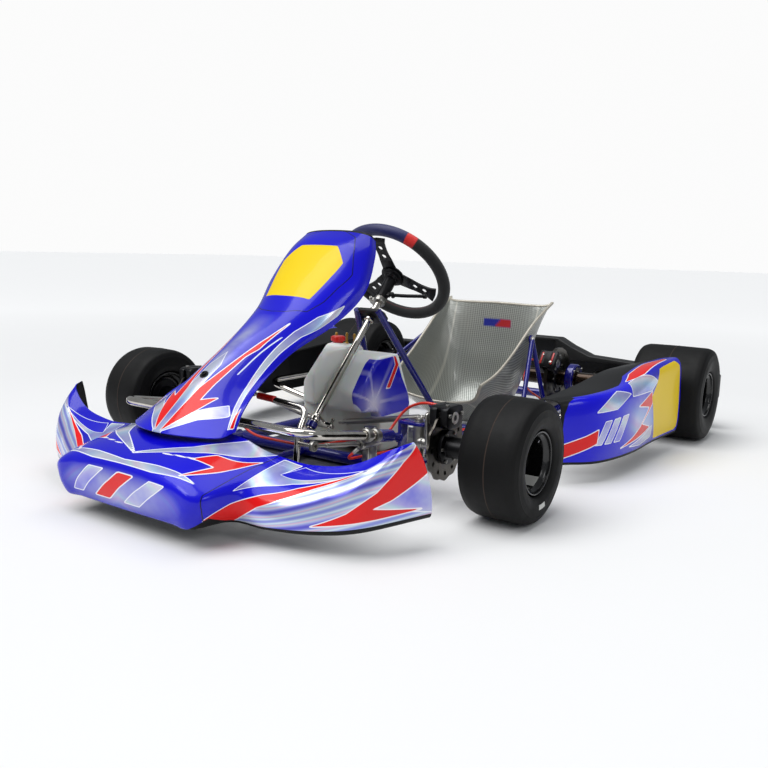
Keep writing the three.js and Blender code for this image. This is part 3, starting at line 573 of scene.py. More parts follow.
def tank_plastic():
    """Milky blow-moulded tank, greyer towards the bottom, and a printed panel on its left side."""
    f = Finish("tank_plastic", Subsurface_Weight=0.25, Subsurface_Scale=0.02, Coat_Weight=0.15)
    z = f.part_of(f.where(), 2)
    cloud = f.noise(6.0, 3.0)
    # Greyer towards the bottom, below about 0.2 m.
    base = f.mix(((0.2 - z) * 6 + cloud * 0.6).held(), "f3f7f5", "dcdcd2")
    base = f.mix(((f.mark("sticker") + 3.0) * 1.2).held(), base, "e8ecf6")
    inner = (f.mark("sticker") * 1.2).held()
    base = f.mix(inner, base, f.mix((cloud * 2 - 0.5).held(), "0c0ab0", "2322d0"))
    base = f.mix(inner * f.mark("burst").held(), base, "d8d4ee")
    base = f.mix(inner * ((f.mark("stripe") + 2.0) * 1.2).held(), base, "f4f4fa")
    base = f.mix(inner * (f.mark("stripe") * 1.2).held(), base, "de1818")
    f.gives(Base_Color=base, Roughness=0.34 + cloud * 0.12 - inner * 0.2,
            Normal=f.bump(f.noise(90.0, 3.0), 0.12, 0.0008))
    return f.material


def hose_skin():
    """Red sleeve over braid, silver at the crimped ends."""
    f = Finish("hose_sleeve", Coat_Weight=0.4)
    along, round_ = f.mark("along"), f.mark("turn")
    end = f.mark("end").held()
    braid = (along * 1800 + round_ * 4).wave() * (along * 1800 - round_ * 4).wave()
    f.gives(Base_Color=f.mix(end, f.mix(f.noise(20.0), "c01408", "ee3a20"), "b8b8b4"), Metallic=end * 0.9,
            Roughness=0.3 + end * 0.05, Normal=f.bump(braid, 0.35, 0.0003))
    return f.material


PRINT = body_print()
RUBBER = rubber()
CHROME = chrome()
DISC = disc_steel()
CLOTH = glass_cloth()
SUEDE = suede()
TANK = tank_plastic()
HOSE = hose_skin()
BLUE = plain("frame_enamel", "04045c", "0a0c8e", 0.22, 0.1, 50.0, 0.15, 0.08, 0.7)
STEEL = plain("bright_zinc", "8e8c88", "c6c4be", 0.3, 0.16, 60.0, 1.0, 0.15)
ALLOY = plain("black_anodised", "0a0a0c", "1a1a1e", 0.34, 0.14, 60.0, 0.55, 0.12)
RIM = plain("rim_lacquer", "070708", "121214", 0.25, 0.12, 40.0, 0.35, 0.1, 0.4)
PLASTIC = plain("bumper_plastic", "060607", "101011", 0.5, 0.14, 90.0, 0.0, 0.35)
AXLE = plain("axle_bronzed", "1c130c", "3a2a1e", 0.24, 0.12, 40.0, 0.9, 0.08, 0.3)
SHEET_METAL = plain("tray_alloy", "77787a", "a2a3a4", 0.38, 0.2, 30.0, 0.95, 0.2)
RED = plain("red_plastic", "b80c08", "dc1a14", 0.32, 0.1, 40.0, 0.0, 0.1, 0.3)
BRASS = plain("brass", "8a6a30", "c8a050", 0.28, 0.12, 40.0, 1.0, 0.1)
LABEL = plain("pale_label", "c8c8c4", "e4e4e0", 0.45, 0.1, 40.0, 0.0, 0.1)
PAD = plain("pad_lining", "3a3632", "55504a", 0.85, 0.1, 90.0, 0.1, 0.6)


def added(name, data):
    """An object with this data, linked to the scene."""
    made = bpy.data.objects.new(name, data)
    bpy.context.scene.collection.objects.link(made)
    return made


def solid_mesh(name, part):
    """A shape in drawing millimetres as a mesh in metres."""
    mesh = bpy.data.meshes.new(name)
    mesh.from_pydata(metres(part[0]).tolist(), [], part[1])
    return mesh


def put_marks(mesh, marks):
    """Writes one number for every point of a mesh under each name."""
    for label, values in marks.items():
        layer = mesh.attributes.new(label, "FLOAT", "POINT")
        layer.data.foreach_set("value", np.asarray(values, np.float32))


def joined(mesh, reach, settle):
    """Joins the points of a mesh that lie within reach, and then settles its faces."""
    bm = bmesh.new()
    bm.from_mesh(mesh)
    bmesh.ops.remove_doubles(bm, verts=bm.verts, dist=reach)
    settle(bm)
    bm.to_mesh(mesh)
    bm.free()


def outward(bm):
    bmesh.ops.recalc_face_normals(bm, faces=bm.faces)


def flat_faces_whole(bm):
    bmesh.ops.dissolve_limit(bm, angle_limit=math.radians(1), verts=bm.verts, edges=bm.edges)


def piece(name, part, body, finish, stands_for=(), marks=None, crease=38, weld=False):
    """A shape becomes a mesh that rides on a body; corners sharper than crease stay sharp. Its
    finish is its one material."""
    mesh = solid_mesh(name, part)
    put_marks(mesh, marks or {})
    if weld:
        joined(mesh, 2e-6, outward)
    mesh.validate()
    mesh.shade_smooth()
    mesh.set_sharp_from_angle(angle=math.radians(crease))
    mesh.materials.append(finish)
    made = added(name, mesh)
    if body:
        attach(made, body)
    if stands_for:
        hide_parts(stands_for)
    return made


def softened(name, node, body, finish, edge=1.5, voxel=0.0, rounds=0, cuts=()):
    """A node's own shape as one closed mesh with its edges rounded by a bevel, or, for a
    blown or cast shape, cut to slope, remeshed in small cells and smoothed."""
    mesh = bpy.data.objects[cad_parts[node].name].data.copy()
    joined(mesh, 1e-6, flat_faces_whole)
    made = added(name, mesh)
    knives = [added("knife", solid_mesh("knife", cut)) for cut in cuts]
    for knife in knives:
        carve = made.modifiers.new("carve", "BOOLEAN")
        carve.operation, carve.solver, carve.object = "DIFFERENCE", "EXACT", knife
    if voxel:
        cells = made.modifiers.new("cells", "REMESH")
        cells.mode, cells.voxel_size = "VOXEL", voxel / 1000
        smooth = made.modifiers.new("smooth", "SMOOTH")
        smooth.factor, smooth.iterations = 0.5, rounds
    else:
        bevel = made.modifiers.new("edges", "BEVEL")
        bevel.width, bevel.segments, bevel.limit_method = edge / 1000, 3, "ANGLE"
        bevel.angle_limit = math.radians(50)
    settled = bpy.data.meshes.new_from_object(made.evaluated_get(bpy.context.evaluated_depsgraph_get()))
    made.modifiers.clear()
    for knife in knives:
        bpy.data.meshes.remove(knife.data)
    made.data = settled
    settled.materials.clear()
    settled.materials.append(finish)
    settled.shade_smooth()
    settled.set_sharp_from_angle(angle=math.radians(40 if voxel else 32))
    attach(made, body)
    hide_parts(node)
    return made


# ------------------------------------------------------------------ printed artwork
def from_edge(a, b, u, v, stretch_u, stretch_v):
    """Distance in millimetres from every place (u, v) to the edge from a to b, measured with
    the surface's own stretch, and 1 on the edge's left or -1 on its right."""
    ax, ay = (a[0] - u) * stretch_u, (a[1] - v) * stretch_v
    ex, ey = (b[0] - a[0]) * stretch_u, (b[1] - a[1]) * stretch_v
    t = np.clip(-(ax * ex + ay * ey) / np.maximum(ex**2 + ey**2, 1e-9), 0, 1)
    return np.hypot(ax + t * ex, ay + t * ey), np.where(ax * ey - ay * ex > 0, 1.0, -1.0)


def depth_in(corners, u, v, stretch_u, stretch_v):
    """Signed distance to a closed outline, positive inside: the least distance to its edges,
    and a count of the edges crossed on one side for the sign."""
    c = np.asarray(corners, float)
    nearest, crossings = np.full(u.shape, 1e9), np.zeros(u.shape, int)
    for a, b in zip(c, np.roll(c, -1, 0)):
        nearest = np.minimum(nearest, from_edge(a, b, u, v, stretch_u, stretch_v)[0])
        if a[1] != b[1]:
            met = (b[0] - a[0]) * (v - a[1]) / (b[1] - a[1]) + a[0]
            crossings += ((a[1] > v) != (b[1] > v)) & (u < met)
    return np.where(crossings % 2 == 1, nearest, -nearest)


def beside_line(points, u, v, stretch_u, stretch_v):
    """Signed distance to an open line, positive on its left."""
    nearest, side = np.full(u.shape, 1e9), np.ones(u.shape)
    for a, b in zip(points[:-1], points[1:]):
        away, way = from_edge(a, b, u, v, stretch_u, stretch_v)
        side = np.where(away < nearest, way, side)
        nearest = np.minimum(nearest, away)
    return nearest * side


PRINT_LAYERS = ("silver", "blue", "red", "line", "yellow", "seam", "field", "bare", "glow", "streak", "flow")
BLANK, SOLID = -9.0, 9.0


class Artwork:
    """Printed layers of one sheet, drawn in two coordinates with the surface's stretch."""

    def __init__(self, layers, *place):
        self.layers, self.place = layers, place

    def inside(self, *corners):
        return depth_in(corners, *self.place)

    def beside(self, *points):
        return beside_line(points, *self.place)

    def add(self, name, depth):
        """A layer keeps the larger of its own distance and the new shape's."""
        self.layers[name] = np.maximum(self.layers[name], depth)

    def put(self, name, *corners):
        self.add(name, self.inside(*corners))


def grid_border(n, m):
    """Corner numbers once round the edge of an n by m grid."""
    return np.concatenate([np.arange(m), np.arange(1, n) * m + m - 1,
                           (n - 1) * m + np.arange(m - 2, -1, -1), np.arange(n - 2, 0, -1) * m])


def unit(vectors):
    """Vectors along the last axis at length 1."""
    return vectors / np.maximum(np.linalg.norm(vectors, axis=-1, keepdims=True), 1e-9)


def grid_places(net, rows, columns):
    """The net's own two coordinates at each place of its smooth grid."""
    return np.meshgrid(np.linspace(0, len(net) - 1, rows + 1), np.linspace(0, len(net[0]) - 1, columns + 1),
                       indexing="ij")


def panel(name, net, rows, columns, artwork, stands_for, flip=1):
    """A moulded sheet on the chassis: the smooth grid of a net, its copy moved in by the wall
    along the surface normals, and a rounded rim between them. artwork gives the printed layers
    from the net's own coordinates."""
    outer = smooth_grid(net, rows, columns)
    along, across = np.gradient(outer, axis=0), np.gradient(outer, axis=1)
    normal = unit(np.cross(along, across) * flip)
    u, v = grid_places(net, rows, columns)
    stretch_u = np.linalg.norm(along, axis=2) * rows / (len(net) - 1)
    stretch_v = np.linalg.norm(across, axis=2) * columns / (len(net[0]) - 1)
    layers = {layer: np.full(u.shape, BLANK) for layer in PRINT_LAYERS}
    layers.update({"glow": np.zeros(u.shape), "streak": np.zeros(u.shape), "flow": (u + v) * 0.4})
    artwork(layers, u, v, stretch_u, stretch_v)
    inner = outer - normal * WALL
    n, m = rows + 1, columns + 1
    edge = grid_border(n, m)
    lip = (outer - normal * WALL / 2).reshape(-1, 3)[edge]
    away = unit(np.cross(lip - np.roll(lip, 1, 0), normal.reshape(-1, 3)[edge]))
    centre = outer.reshape(-1, 3).mean(0)
    far_out, far_in = (np.linalg.norm(lip + s * away - centre, axis=1).sum() for s in (1, -1))
    lip = lip + away * (WALL * 0.3 if far_out > far_in else -WALL * 0.3)
    cells, k = quads(n, m), np.arange(len(edge))
    size, after = n * m, np.roll(k, -1)
    rim = np.stack([edge, edge[after], 2 * size + after, 2 * size + k], 1)
    under = np.stack([2 * size + k, 2 * size + after, edge[after] + size, edge + size], 1)
    faces = np.concatenate([cells, cells[:, ::-1] + size, rim[:, ::-1], under[:, ::-1]])
    points = np.concatenate([outer.reshape(-1, 3), inner.reshape(-1, 3), lip])
    marks = {label: np.concatenate([value.ravel(), value.ravel(), value.ravel()[edge]])
             for label, value in layers.items()}
    marks["bare"] = np.concatenate([layers["bare"].ravel(), np.full(size, SOLID), np.full(len(edge), 1.0)])
    return piece(name, shape(points, faces), "chassis", PRINT, stands_for, marks=marks, crease=60)


# ------------------------------------------------------------------ sizes, in millimetres
AXLE_Y = 1048
COLUMN_TILT, WHEEL_TILT = math.radians(46.8), math.radians(40)
WHEEL_CENTRE = np.array([0.0, 367.0, 481.0])
FRONT = {"radius": 128.0, "half": 67.0, "centre": 552.0, "rim": 66.0, "plate": -30.0, "hole": 25.0}
REAR = {"radius": 139.5, "half": 106.5, "centre": 588.5, "rim": 66.0, "plate": -52.0, "hole": 32.0}
KINGPIN = 325
WALL = 4.0
ACROSS, BACK, UP = (1, 0, 0), (0, 1, 0), (0, 0, 1)


def column_point(height):
    """A place on the steering column, by its distance up the column from the wheel's centre."""
    return WHEEL_CENTRE + height * np.array([0, math.cos(COLUMN_TILT), math.sin(COLUMN_TILT)])


def tilted(part, origin, tilt):
    """A shape drawn with Z up the steering axis and Y down it towards the driver."""
    turn = tilt - math.pi / 2
    return laid(part, origin, ACROSS, (0, math.cos(turn), math.sin(turn)))


def on_column(part, height=0.0):
    return tilted(part, column_point(height), COLUMN_TILT)


def on_wheel(part):
    return tilted(part, WHEEL_CENTRE, WHEEL_TILT)


def upright(part, x=0):
    """A shape drawn in XY, stood across the kart at x with its X rearward and its Y up."""
    return laid(part, (x, 0, 0), BACK, UP)


def tube(corners, radius, reach=60, step=9, sides=20, edge=0.8):
    return pipe(even(bent(corners, reach), step), radius, sides, edge=edge)


def spun(profile, corner, origin=(0, 0, 0), axis=ACROSS, sides=64, steps=3):
    """A closed section with its corners rounded, turned about an axis."""
    return turned(bent(profile, corner, steps, closed=True), origin, axis, sides)


def cut_plate(corners, corner, thick, edge, steps=5):
    """A flat plate cut to an outline with rounded corners."""
    return plate(bent(corners, corner, steps, closed=True), thick, edge)


def round_circle(count, radius, start=0.0):
    """Places evenly round a circle about the origin."""
    angles = start + np.arange(count) * 2 * math.pi / count
    return np.stack([radius * np.cos(angles), radius * np.sin(angles)], 1)


def weld(at, way, radius, bead=2.2):
    """A rippled weld bead round the end of a tube: its size follows a sine with the angle."""
    a = np.linspace(0, 2 * np.pi, 48, endpoint=False)[:, None, None]
    b = np.linspace(0, 2 * np.pi, 8, endpoint=False)[None, :, None]
    x, y, z = axes_from(way)
    size = bead * (1 + 0.18 * np.sin(a * 14))
    reach = radius + 0.4 + size * np.cos(b)
    grid = np.asarray(at, float) + reach * (np.cos(a) * x + np.sin(a) * y) + size * np.sin(b) * z
    return shape(grid.reshape(-1, 3), quads(48, 8, True, True))


# ------------------------------------------------------------------ bodywork
SPOILER_HALF = [
    [[0, -520, 36], [0, -538, 46], [0, -546, 92], [0, -534, 134], [0, -440, 164], [0, -350, 176]],
    [[125, -520, 36], [128, -537, 46], [134, -545, 88], [136, -532, 129], [130, -440, 158], [125, -350, 170]],
    [[170, -514, 34], [182, -530, 42], [200, -536, 76], [207, -524, 107], [196, -440, 134], [188, -345, 152]],
    [[192, -436, 32], [205, -452, 40], [224, -462, 68], [238, -452, 98], [240, -398, 124], [240, -338, 142]],
    [[274, -424, 32], [282, -442, 40], [292, -440, 66], [298, -424, 94], [304, -386, 120], [306, -336, 140]],
    [[357, -400, 34], [371, -416, 44], [381, -410, 80], [387, -394, 114], [391, -364, 140], [393, -332, 156]],
    [[432, -357, 42], [445, -371, 53], [455, -370, 95], [462, -358, 138], [466, -336, 170], [467, -311, 193]],
    [[492, -233, 50], [506, -238, 60], [510, -245, 97], [507, -255, 139], [499, -267, 178], [490, -279, 202]],
]
PANEL_HALF = [
    [[0, -452, 179], [66, -440, 178], [122, -404, 176], [132, -368, 184]],
    [[0, -392, 226], [56, -380, 222], [106, -352, 212], [116, -326, 222]],
    [[0, -324, 278], [48, -311, 271], [88, -286, 254], [98, -258, 262]],
    [[0, -215, 346], [45, -206, 338], [84, -188, 316], [94, -160, 316]],
    [[0, -100, 416], [60, -92, 411], [106, -68, 384], [116, -36, 374]],
    [[0, -20, 490], [77, -12, 485], [130, 14, 459], [137, 42, 440]],
    [[0, 46, 552], [73, 50, 549], [119, 72, 534], [125, 98, 522]],
    [[0, 100, 587], [60, 103, 585], [97, 111, 578], [103, 128, 566]],
]
POD_NET = np.array([
    [[540, 294, 52], [538, 290, 90], [536, 290, 150], [528, 294, 196], [500, 298, 204], [470, 300, 200]],
    [[600, 376, 50], [604, 372, 90], [600, 372, 150], [590, 374, 206], [556, 376, 214], [480, 380, 206]],
    [[630, 520, 50], [636, 520, 90], [632, 520, 160], [620, 520, 216], [580, 520, 224], [480, 520, 212]],
    [[634, 700, 50], [642, 700, 90], [640, 700, 180], [630, 700, 246], [590, 700, 254], [480, 700, 226]],
    [[646, 870, 50], [652, 872, 90], [650, 874, 180], [642, 872, 254], [600, 866, 260], [480, 850, 226]],
], float)
MIRROR = np.array([-1.0, 1.0, 1.0])


def both_sides(half):
    """Rows of control points from the middle outwards, continued over the other side."""
    half = np.asarray(half, float)
    return np.concatenate([half[:0:-1] * MIRROR, half])


SPOILER_NET = both_sides(SPOILER_HALF)
PANEL_NET = np.array([both_sides(row) for row in PANEL_HALF])
LINE_WIDTH = 3.0


def slanted_bars(art, name, at, size, count=3):
    """Plain slanted bars side by side on one layer."""
    half_width, half_height = size[0] / 2, size[1] / 2
    lean = half_height * 0.35
    for k in range(count):
        x = at[0] + (k - (count - 1) / 2) * size[0] * 1.5
        low, high = at[1] - half_height, at[1] + half_height
        art.put(name, (x - half_width - lean, low), (x + half_width - lean, low),
                (x + half_width + lean, high), (x - half_width + lean, high))


def nose_artwork(layer, u, v, su, sv):
    """Printing of the nose and its wings, the same on both sides of the middle, and three
    slanted bars across its front; also a painted highlight over the top of the nose and painted
    shade along its moulded creases."""
    m = np.abs(u - 7)
    art = Artwork(layer, m, v, su, sv)
    art.put("field", (2.9, 0.9), (3.2, 1.9), (3.8, 2.85), (4.4, 3.4), (5.4, 3.85), (6.1, 4.5), (7.2, 5.2),
        (7.2, 0.5), (3.4, 0.5))
    art.put("silver", (2.65, 3.2), (3.0, 4.9), (3.7, 4.84), (3.42, 4.17), (5.9, 3.8), (4.0, 3.85))
    art.put("blue", (3.42, 4.17), (3.85, 4.8), (5.72, 3.85))
    art.put("silver", (-0.1, 3.3), (0.7, 3.96), (1.4, 5.1), (2.7, 5.1), (0.9, 3.86))
    art.put("silver", (-0.1, 3.08), (0.6, 3.18), (1.6, 3.2), (0.6, 2.94), (-0.1, 2.96))
    art.put("silver", (7.1, 3.4), (7.1, 1.2), (6.8, 1.45), (6.08, 1.93))
    art.put("red", (0.42, 3.54), (0.98, 3.66), (1.3, 4.05), (2.48, 4.52), (1.8, 3.78), (1.12, 3.14),
            (1.6, 3.8), (1.3, 3.72))
    art.put("red", (2.3, 1.5), (2.82, 2.4), (3.5, 3.1), (4.23, 3.56), (5.5, 3.92), (4.6, 3.45),
            (4.0, 2.95), (3.55, 2.4),
        (3.1, 1.2), (2.8, 0.7))
    art.put("red", (7.1, 4.95), (7.1, 3.3), (6.38, 2.2), (6.08, 1.93), (6.85, 1.55), (6.2, 1.48),
            (4.9, 1.42), (5.6, 1.88),
        (6.1, 2.6), (6.5, 3.84))
    whole = Artwork(layer, u, v, su, sv)
    for at, name in ((6.38, "silver"), (7.0, "red"), (7.62, "silver")):
        whole.put(name, (at - 0.5, 1.35), (at - 0.2, 1.35), (at + 0.32, 2.55), (at + 0.02, 2.55))
    # Painted shade along the nose's moulded creases.
    layer["seam"] = art.beside((2.4, 1.0), (2.2, 2.0), (2.02, 3.0), (2.25, 3.6), (2.5, 4.4), (2.7, 5.0))
    layer["bare"] = np.where(m > 2.2, (1.16 - v) * sv, (0.72 - v) * sv)
    art.put("bare", (1.75, 0.3), (2.0, 1.0), (2.42, 1.62), (2.9, 1.1), (3.1, 0.3))
    # Painted highlight: a soft silver blush over the top of the nose.
    layer["glow"] = np.clip(np.exp(-((m / 1.25)**2 + ((v - 1.8) / 0.75)**2) * 1.2) - 0.14, 0, 0.7)
    layer["streak"] = v - 0.34 * (m - 3) - 0.12 * np.sin(m * 1.4)
    layer["flow"] = m * 0.8 + v * 0.7


def panel_artwork(layer, u, v, su, sv):
    """Printing of the front panel: blades down the ridge, silver edges and the number plate, with a painted
    highlight along the ridge and painted shade along the moulded crease round the plate.
    """
    m = np.abs(v - 3)
    art = Artwork(layer, u, m, su, sv)
    art.put("silver", (2.7, -0.1), (2.3, 0.3), (1.57, 0.3), (0.88, 0.2), (-0.1, 0.16), (-0.1, -0.1))
    art.put("silver", (0.0, 0.1), (0.67, 0.47), (1.29, 1.7), (0.92, 1.95), (0.59, 1.07))
    art.put("silver", (3.2, 1.63), (3.51, 1.6), (3.99, 1.75), (4.47, 2.28), (4.21, 2.47), (3.77, 2.28),
            (3.49, 1.98),
        (3.0, 1.98), (2.2, 2.1), (1.2, 2.2), (0.3, 2.4), (0.3, 2.3), (1.2, 1.98), (2.06, 1.87), (2.77, 1.7))
    art.put("red", (3.35, 1.18), (2.62, 0.95), (1.78, 0.75), (1.22, 0.67), (1.42, 1.22), (0.91, 0.83),
            (0.06, 0.12),
        (0.88, 0.2), (1.57, 0.3), (2.45, 0.72))
    art.put("red", (3.6, 1.22), (2.9, 1.02), (2.5, 0.86), (2.87, 1.16))
    art.put("red", (0.3, 2.42), (0.9, 2.3), (1.1, 2.5), (0.2, 2.75))
    layer["line"] = LINE_WIDTH / 2 - np.abs(art.beside((2.2, 1.25), (2.79, 1.33), (3.3, 1.46)))
    yellow = art.inside((4.26, -2), (4.24, 1.0), (4.95, 1.08), (5.4, 1.18), (5.92, 0.7), (5.94, -2))
    layer["yellow"] = np.minimum(yellow + 2, SOLID)
    # Painted shade along the moulded crease round the number plate.
    layer["seam"] = art.beside((3.77, 0), (3.8, 0.6), (3.96, 1.3), (4.31, 1.48), (4.73, 1.52), (5.21, 1.68),
                               (5.6, 1.5), (6.57, 1.2), (6.9, 0.6), (6.95, 0))
    ends = np.clip((u - 1.9) * 1.6, 0, 1) * np.clip((3.7 - u) * 1.1, 0, 1)
    # Painted highlight: a soft silver band along the ridge, fading at its ends.
    layer["glow"] = np.clip(1.15 * np.exp(-(m / 0.42)**2) * ends, 0, 0.8)
    layer["bare"] = np.maximum((u - 6.9) * su, BLANK)
    layer["flow"] = u * 0.55 + m * 0.6


def pod_artwork(layer, u, v, su, sv):
    """Printing of a side pod: red flash, silver wedge, slanted bars and the yellow rear, with a painted
    highlight on its flank.
    """
    art = Artwork(layer, u, v, su, sv)
    art.put("red", (-0.1, 1.1), (0.62, 1.5), (0.95, 1.72), (0.9, 1.2), (0.58, 0.94), (-0.1, 0.35))
    art.put("red", (1.6, 0.7), (2.72, 1.85), (2.72, 2.25), (2.2, 2.06), (2.6, 1.8), (2.27, 1.42), (2.62, 1.2))
    art.put("red", (2.35, 3.5), (2.15, 3.75), (2.5, 4.02), (3.1, 4.05), (3.75, 3.85), (3.65, 3.6), (2.6, 3.3))
    art.put("silver", (0.93, 2.4), (1.61, 3.2), (1.95, 2.75), (1.5, 2.35))
    art.put("silver", (2.0, 2.6), (2.1, 3.5), (2.4, 3.5), (2.95, 2.5), (2.7, 2.3))
    art.put("silver", (1.9, 0.6), (2.72, 1.2), (2.72, 0.7), (2.3, 0.45))
    slanted_bars(art, "silver", (1.35, 1.55), (0.17, 0.85))
    yellow = art.inside((3.1, 2.95), (3.8, 3.1), (3.93, 2.8), (3.93, 0.55), (3.86, 0.4), (2.92, 0.4),
                        (2.72, 2.05), (2.95, 2.45))
    layer["yellow"] = np.minimum(yellow + 2, SOLID)
    # Painted highlight: a soft silver blush on the pod's flank.
    layer["glow"] = np.clip(np.exp(-(((u - 2.35) / 0.5)**2 + ((v - 1.5) / 0.9)**2)) * 0.9, 0, 0.7)
    flange = 3.75 + 0.4 * np.clip((u - 1.9) * 2, 0, 1)
    layer["bare"] = np.maximum((0.16 - v) * sv, (v - flange) * sv)
    art.put("bare", (-0.5, 1.0), (0.0, 1.3), (0.08, 2.4), (0.22, 3.0), (0.5, 3.5), (0.5, 5.5), (-0.5, 5.5))
    layer["flow"] = u * 0.7 + v * 0.6


panel("nose_cone", SPOILER_NET, 330, 104, nose_artwork, "front_spoiler")
panel("number_panel", PANEL_NET, 180, 130, panel_artwork, "front_panel", flip=-1)
panel("pod_left", POD_NET, 150, 130, pod_artwork, "side_pod_left")
panel("pod_right", POD_NET * MIRROR, 150, 130, pod_artwork, "side_pod_right", flip=-1)
PANEL_SLOPE = (0, -0.62, 0.78)
bolt_seat = turned([(-1.0, 3), (0.4, 3), (1.0, 6), (0.9, 9.4), (-0.4, 9.6)], (0, -326, 278), PANEL_SLOPE, 32)
piece("panel_bolt", together(cap_screw((0, -326, 279), PANEL_SLOPE, 5.5, 3.4), bolt_seat), "chassis", ALLOY)

# ------------------------------------------------------------------ seat
SEAT_X, SEAT_WALL = 65, 5.0
SEAT_HALF = [
    [[0, 524, 108], [50, 520, 112], [120, 508, 130], [146, 500, 176]],
    [[0, 596, 50], [80, 590, 62], [142, 572, 116], [162, 560, 204]],
    [[0, 712, 34], [96, 700, 44], [152, 662, 130], [168, 640, 250]],
    [[0, 816, 100], [104, 800, 120], [158, 750, 206], [172, 720, 306]],
    [[0, 846, 232], [104, 836, 240], [160, 806, 286], [176, 780, 346]],
    [[0, 862, 386], [100, 862, 384], [164, 866, 384], [182, 880, 394]],
]
SEAT_NET = np.array([both_sides(row) for row in SEAT_HALF]) + [SEAT_X, 0, 0]


def lay_cloth(mesh, flat):
    """Gives every corner of a mesh its point's place on the laid-out cloth."""
    corner = np.zeros(len(mesh.loops), int)
    mesh.loops.foreach_get("vertex_index", corner)
    mesh.uv_layers.new(name="cloth").data.foreach_set("uv", flat[corner].ravel())


def seat_shell():
    """The smooth grid of the seat's net, its copy one wall inside, and a rolled rim. The marks
    are the lapped cloth and a two-colour patch on the inside."""
    rows, columns = 130, 120
    outer = smooth_grid(SEAT_NET, rows, columns)
    inner = outer - unit(np.cross(np.gradient(outer, axis=0), np.gradient(outer, axis=1))) * SEAT_WALL
    n, m = rows + 1, columns + 1
    edge = grid_border(n, m)
    after = np.roll(edge, -1)
    lip = np.stack([edge, after, after + n * m, edge + n * m], 1)
    faces = np.concatenate([quads(n, m), quads(n, m)[:, ::-1] + n * m, lip[:, ::-1]])
    points = np.concatenate([outer.reshape(-1, 3), inner.reshape(-1, 3)])
    u, v = grid_places(SEAT_NET, rows, columns)
    lapped = np.maximum(1 - np.abs(np.abs(v - 3) - 1.62) * 16, 0)
    label = ((u > 4.52) & (u < 4.68) & (v > 2.62) & (v < 3.52)).astype(float)
    marks = {"lap": (lapped, lapped), "label_blue": (0 * label, label),
             "label_red": (0 * label, label * (v > 3.1 + (u - 4.6)))}
    marks = {name: np.concatenate([a.ravel(), b.ravel()]) for name, (a, b) in marks.items()}
    made = piece("seat_shell", shape(points, faces), "chassis", CLOTH, "seat", marks=marks, crease=60)
    flat = np.stack([u * 0.09, v * 0.075], -1).reshape(-1, 2)
    lay_cloth(made.data, np.concatenate([flat, flat]))
    rim = ((outer + inner) / 2).reshape(-1, 3)[edge]
    piece("seat_rim", pipe(even(np.concatenate([rim, rim[:1]]), 6), 4.4, 12, closed=True), "chassis",
          plain("seat_edge", "a8a294", "d0cabc", 0.32, 0.1, 60.0, 0.3, 0.2, 0.5))


seat_shell()

# ------------------------------------------------------------------ frame
rail = tube([(190, -292, 56), (212, -60, 56), (212, 330, 56), (292, 480, 56), (292, 760, 56), (262, 930, 56),
             (262, 1190, 56)], 15, 90, 10, 24)
column_strut = tube([(118, 462, 56), (34, 244, 386)], 9)
yoke = [moved(cut_plate([(280, -20), (345, -20), (352, 0), (345, 20), (280, 20)], 9, 6, 1), (0, 0, z))
        for z in (166, 84)]
bumper_sockets = together(rod((276, -50, 142), (281, -8, 132), 9),
                          rod((275, -84, 148), (275, -36, 140), 13.5, 28, 1.5),
                          rod((205, -262, 56), (205, -262, 82), 8))
beads = [weld(*place) for place in (
    ((205, -262, 71), UP, 8), ((226, 0, 56), ACROSS, 15), ((277, 0, 56), ACROSS, 15),
    ((112, 448, 72), (-0.2, -0.5, 0.8), 9), ((281, -14, 133), (0, 1, -0.2), 9),
    ((277, 462, 56), ACROSS, 15), ((259, 880, 56), ACROSS, 15))]
half_frame = together(rail, column_strut, *yoke, block(278, 286, -16, 16, 48, 172),
                      rod((212, 0, 56), (282, 0, 56), 15), bumper_sockets, *beads)
CROSS_TUBES = ((200, -250, 12), (212, 0, 15), (285, 462, 15), (274, 880, 15), (262, 1175, 15))
cross_tubes = [rod((-x, y, 56), (x, y, 56), radius) for x, y, radius in CROSS_TUBES]
bearing_seat = together(rod(column_point(-512), column_point(-496), 14, 28, 1.2),
                        rod((0, -6, 56), column_point(-504), 8))
piece("frame_tubes", together(half_frame, mirrored(half_frame), *cross_tubes,
                              rod((0, 0, 56), (0, -250, 56), 10), bearing_seat),
      "chassis", BLUE, "main_frame")
BEARING_AT = -152
bearing_plate = cut_plate([(-46, -14), (-30, -26), (30, -26), (46, -14), (46, 14), (30, 26), (-30, 26),
                           (-46, 14)], 6, 10, 1.2, 4)
piece("column_bearing", together(
    on_column(moved(bearing_plate, (0, 0, -5)), BEARING_AT),
    *[on_column(cap_screw((x, 0, 5), UP, 5, 5), BEARING_AT) for x in (-36, 36)],
    *[on_column(hex_nut((x, 0, -5), (0, 0, -1), 10, 5), BEARING_AT) for x in (-36, 36)]), "chassis", ALLOY)

